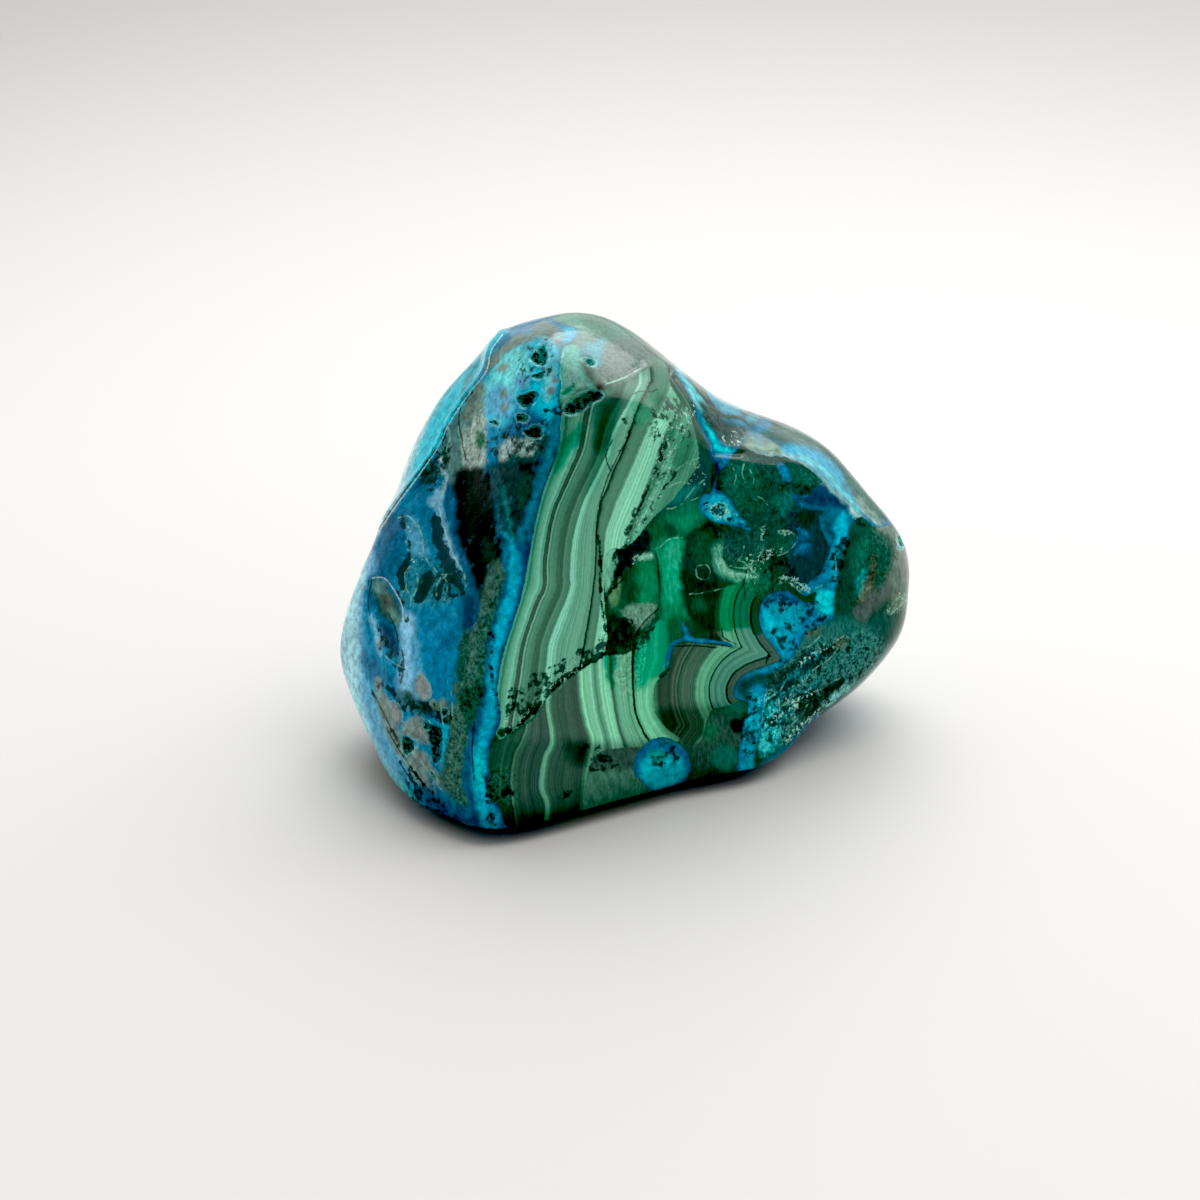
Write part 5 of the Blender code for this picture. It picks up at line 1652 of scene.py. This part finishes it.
def add_marks(graph, colour, dark, vug):
    """Cracks, dark crumbs, vugs with painted shade in their hollows, pale crumbs, pale veinlets and
    the painted glint of the ridge, in this order.
    """
    colour = graph.coat(graph.line(*CRACKS), colour, CRACK_BLACK)
    colour = graph.coat(dark, colour, CRUMB_BLACK)
    colour = graph.coat(graph.mark(*VUG_EDGES), colour, VUG_RIM)
    # vugs: painted shade of the hollows over their dark floors, flecked with crust
    crust = graph.step(graph.noises["chalk"], *VUG_CRUST_NOISE)
    shaded_hole = graph.coat(crust, (*pigment(VUG_SHADE_BLACK), 1.0), VUG_CRUST)
    colour = graph.mix(vug, colour, shaded_hole)
    colour = graph.coat(graph.mark(*PALE_CRUMBS), colour, CHALK_GREEN)
    veinlets = graph.math("MULTIPLY", graph.line(*VEINLETS),
                          graph.step(graph.noises["middling"], *PATCHY, *VEINLET_FADE))
    colour = graph.coat(veinlets, colour, FINE_LINE)
    # painted highlight: the glint along the ridge's crest
    return graph.coat(graph.line(*GLINTS), colour, RIDGE_GLINT)


def add_gloss(graph, dark, vug):
    """A polished surface that is duller in crumbs and vugs."""
    rough = graph.math("MAXIMUM", graph.math("MULTIPLY", dark, CRUMB_ROUGHNESS),
                       graph.math("MULTIPLY", vug, VUG_ROUGHNESS))
    rough = graph.math("ADD", rough, graph.vary("middling", *POLISH_ROUGHNESS))
    graph.feed(graph.shader.inputs["Roughness"], rough)
    graph.shader.inputs["IOR"].default_value = STONE_IOR
    graph.shader.inputs["Specular IOR Level"].default_value = STONE_SPECULAR


def add_relief(graph, dark, vug):
    """The finest relief: sunk crumbs, rough vugs and the faint marks of polishing."""
    sunk = graph.math("MULTIPLY", dark, -1.0)
    rough = graph.math("MULTIPLY", graph.math("MULTIPLY", vug, graph.noises["flecks"]), VUG_RELIEF)
    polish = graph.math("MULTIPLY", graph.noises["finest"], POLISH_RELIEF)
    height = graph.math("ADD", graph.math("ADD", sunk, rough), polish)
    bump = graph.add("ShaderNodeBump")
    bump.inputs["Strength"].default_value = RELIEF_STRENGTH
    bump.inputs["Distance"].default_value = RELIEF_DEPTH * MM
    graph.feed(bump.inputs["Height"], height)
    graph.feed(graph.shader.inputs["Normal"], bump.outputs["Normal"])


def new_material(name, graph_kind):
    """A node material and the graph that fills it."""
    material = bpy.data.materials.new(name)
    material.use_nodes = True
    return material, graph_kind(material)


def stone_material():
    """Blue over green along a ragged shore, then the marks, the gloss and the relief."""
    material, graph = new_material("polished_chrysocolla", StoneGraph)
    shore = graph.ragged(graph.stored("blue"), "shore", SHORE_RAGGED)
    shore = graph.step(shore, -SHORE_SOFT, SHORE_SOFT)
    colour = graph.mix(shore, under_colour(graph), over_colour(graph))
    dark = graph.mark(*DARK_CRUMBS)
    vug = graph.mark(*VUG_HOLES)
    colour = add_marks(graph, add_grain(graph, colour), dark, vug)
    graph.feed(graph.shader.inputs["Base Color"], colour)
    add_gloss(graph, dark, vug)
    add_relief(graph, dark, vug)
    return material


def mesh_object(name, points, quads):
    """A smooth-shaded object from points in millimetres."""
    data = bpy.data.meshes.new(name)
    data.from_pydata((points * MM).tolist(), [], quads.tolist())
    data.shade_smooth()
    data.update()
    item = bpy.data.objects.new(name, data)
    bpy.context.collection.objects.link(item)
    return item


# ---------------------------------------------------------------- studio
TOP_BOX_PLACE = (0.20, 0.36, 0.66)            # metres, over the stone's far right side
TOP_BOX_SIZE = (1.1, 0.9)                     # metres
TOP_BOX_POWER = 9.6                           # watts
LIGHT_AIM = (0.0, 0.0, 0.03)                  # metres, the middle of the stone
FLOOR_HALF = 3.0                              # metres
FLOOR_NEAR = (0.52, 0.512, 0.498, 1.0)
FLOOR_FAR_SHADED = (0.30, 0.296, 0.29, 1.0)
FLOOR_SHADE_FADE = (0.12, 0.55)                     # metres from the stone between which the painted shade darkens it
FLOOR_ROUGHNESS = 0.7
TENT_WHITE = (1.0, 0.99, 0.975, 1.0)
TENT_OPENING = (-0.17, -0.97, 0.17)           # direction of the tent's dark opening
OPENING_EDGE = (0.3, 0.9)                     # how nearly a direction points there, edge to middle
TENT_LIGHT = (1.10, 0.03)                     # strength of the tent and of its opening
CLIP_START = 0.01                             # metres


def add_camera():
    """The photograph's viewpoint."""
    data = bpy.data.cameras.new("photo_camera")
    data.lens = CAMERA_LENS
    data.sensor_width = CAMERA_SENSOR
    data.clip_start = CLIP_START
    camera = bpy.data.objects.new("photo_camera", data)
    camera.location = CAMERA_PLACE * MM
    camera.rotation_euler = (np.pi / 2.0 - CAMERA_ELEVATION, 0.0, 0.0)
    bpy.context.collection.objects.link(camera)
    bpy.context.scene.camera = camera


def add_top_box():
    """A large soft light that looks down at the stone."""
    data = bpy.data.lights.new("top_box", "AREA")
    data.shape = "RECTANGLE"
    data.size, data.size_y = TOP_BOX_SIZE
    data.energy = TOP_BOX_POWER
    light = bpy.data.objects.new("top_box", data)
    light.location = TOP_BOX_PLACE
    aim = unit(np.subtract(LIGHT_AIM, TOP_BOX_PLACE))
    light.rotation_euler = (np.arccos(-aim[2]), 0.0, np.arctan2(aim[1], aim[0]) - np.pi / 2.0)
    bpy.context.collection.objects.link(light)


def add_floor():
    """Pale paper with painted shade that greys it away from the stone."""
    data = bpy.data.meshes.new("floor")
    corners = [(across * FLOOR_HALF, deep * FLOOR_HALF, 0.0)
               for across, deep in ((-1, -1), (1, -1), (1, 1), (-1, 1))]
    data.from_pydata(corners, [], [(0, 1, 2, 3)])
    floor = bpy.data.objects.new("floor", data)
    material, graph = new_material("pale_paper", Graph)
    reach = graph.add("ShaderNodeVectorMath")
    reach.operation = "LENGTH"
    graph.feed(reach.inputs[0], graph.place)
    # painted shade: the paper darkens away from the stone
    away = graph.step(reach.outputs["Value"], *FLOOR_SHADE_FADE)
    graph.feed(graph.shader.inputs["Base Color"], graph.mix(away, FLOOR_NEAR, FLOOR_FAR_SHADED))
    graph.shader.inputs["Roughness"].default_value = FLOOR_ROUGHNESS
    data.materials.append(material)
    bpy.context.collection.objects.link(floor)


def add_world():
    """A white tent that is open, and so darker, on the photographer's side."""
    world = bpy.data.worlds.new("white_tent")
    world.use_nodes = True
    tree = world.node_tree
    sky = tree.nodes.new("ShaderNodeTexCoord")
    towards = tree.nodes.new("ShaderNodeVectorMath")
    towards.operation = "DOT_PRODUCT"
    towards.inputs[1].default_value = TENT_OPENING
    opening = tree.nodes.new("ShaderNodeMapRange")
    opening.interpolation_type = "SMOOTHSTEP"
    for name, number in zip(("From Min", "From Max", "To Min", "To Max"),
                            OPENING_EDGE + TENT_LIGHT):
        opening.inputs[name].default_value = number
    background = tree.nodes["Background"]
    background.inputs["Color"].default_value = TENT_WHITE
    tree.links.new(sky.outputs["Generated"], towards.inputs[0])
    tree.links.new(towards.outputs["Value"], opening.inputs["Value"])
    tree.links.new(opening.outputs["Result"], background.inputs["Strength"])
    bpy.context.scene.world = world


def set_exposure():
    """Plain colours, with the black point where the photograph's camera put it."""
    view = bpy.context.scene.view_settings
    view.view_transform = "Standard"
    view.use_curve_mapping = True
    view.curve_mapping.black_level = (BLACK_POINT, BLACK_POINT, BLACK_POINT)
    view.curve_mapping.update()


def add_stone():
    """The polished stone with its painting and its material."""
    points, quads = smooth_stone()
    points = carve_details(points, point_normals(points, quads))
    painting = Painting(points, point_normals(points, quads))
    paint_front(painting)
    paint_hidden(painting)
    stone = mesh_object("polished_stone", points, quads)
    store_painting(stone.data, painting)
    stone.data.materials.append(stone_material())
    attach(stone, "root")
    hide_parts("stone")


add_camera()
add_floor()
add_world()
add_top_box()
set_exposure()
add_stone()
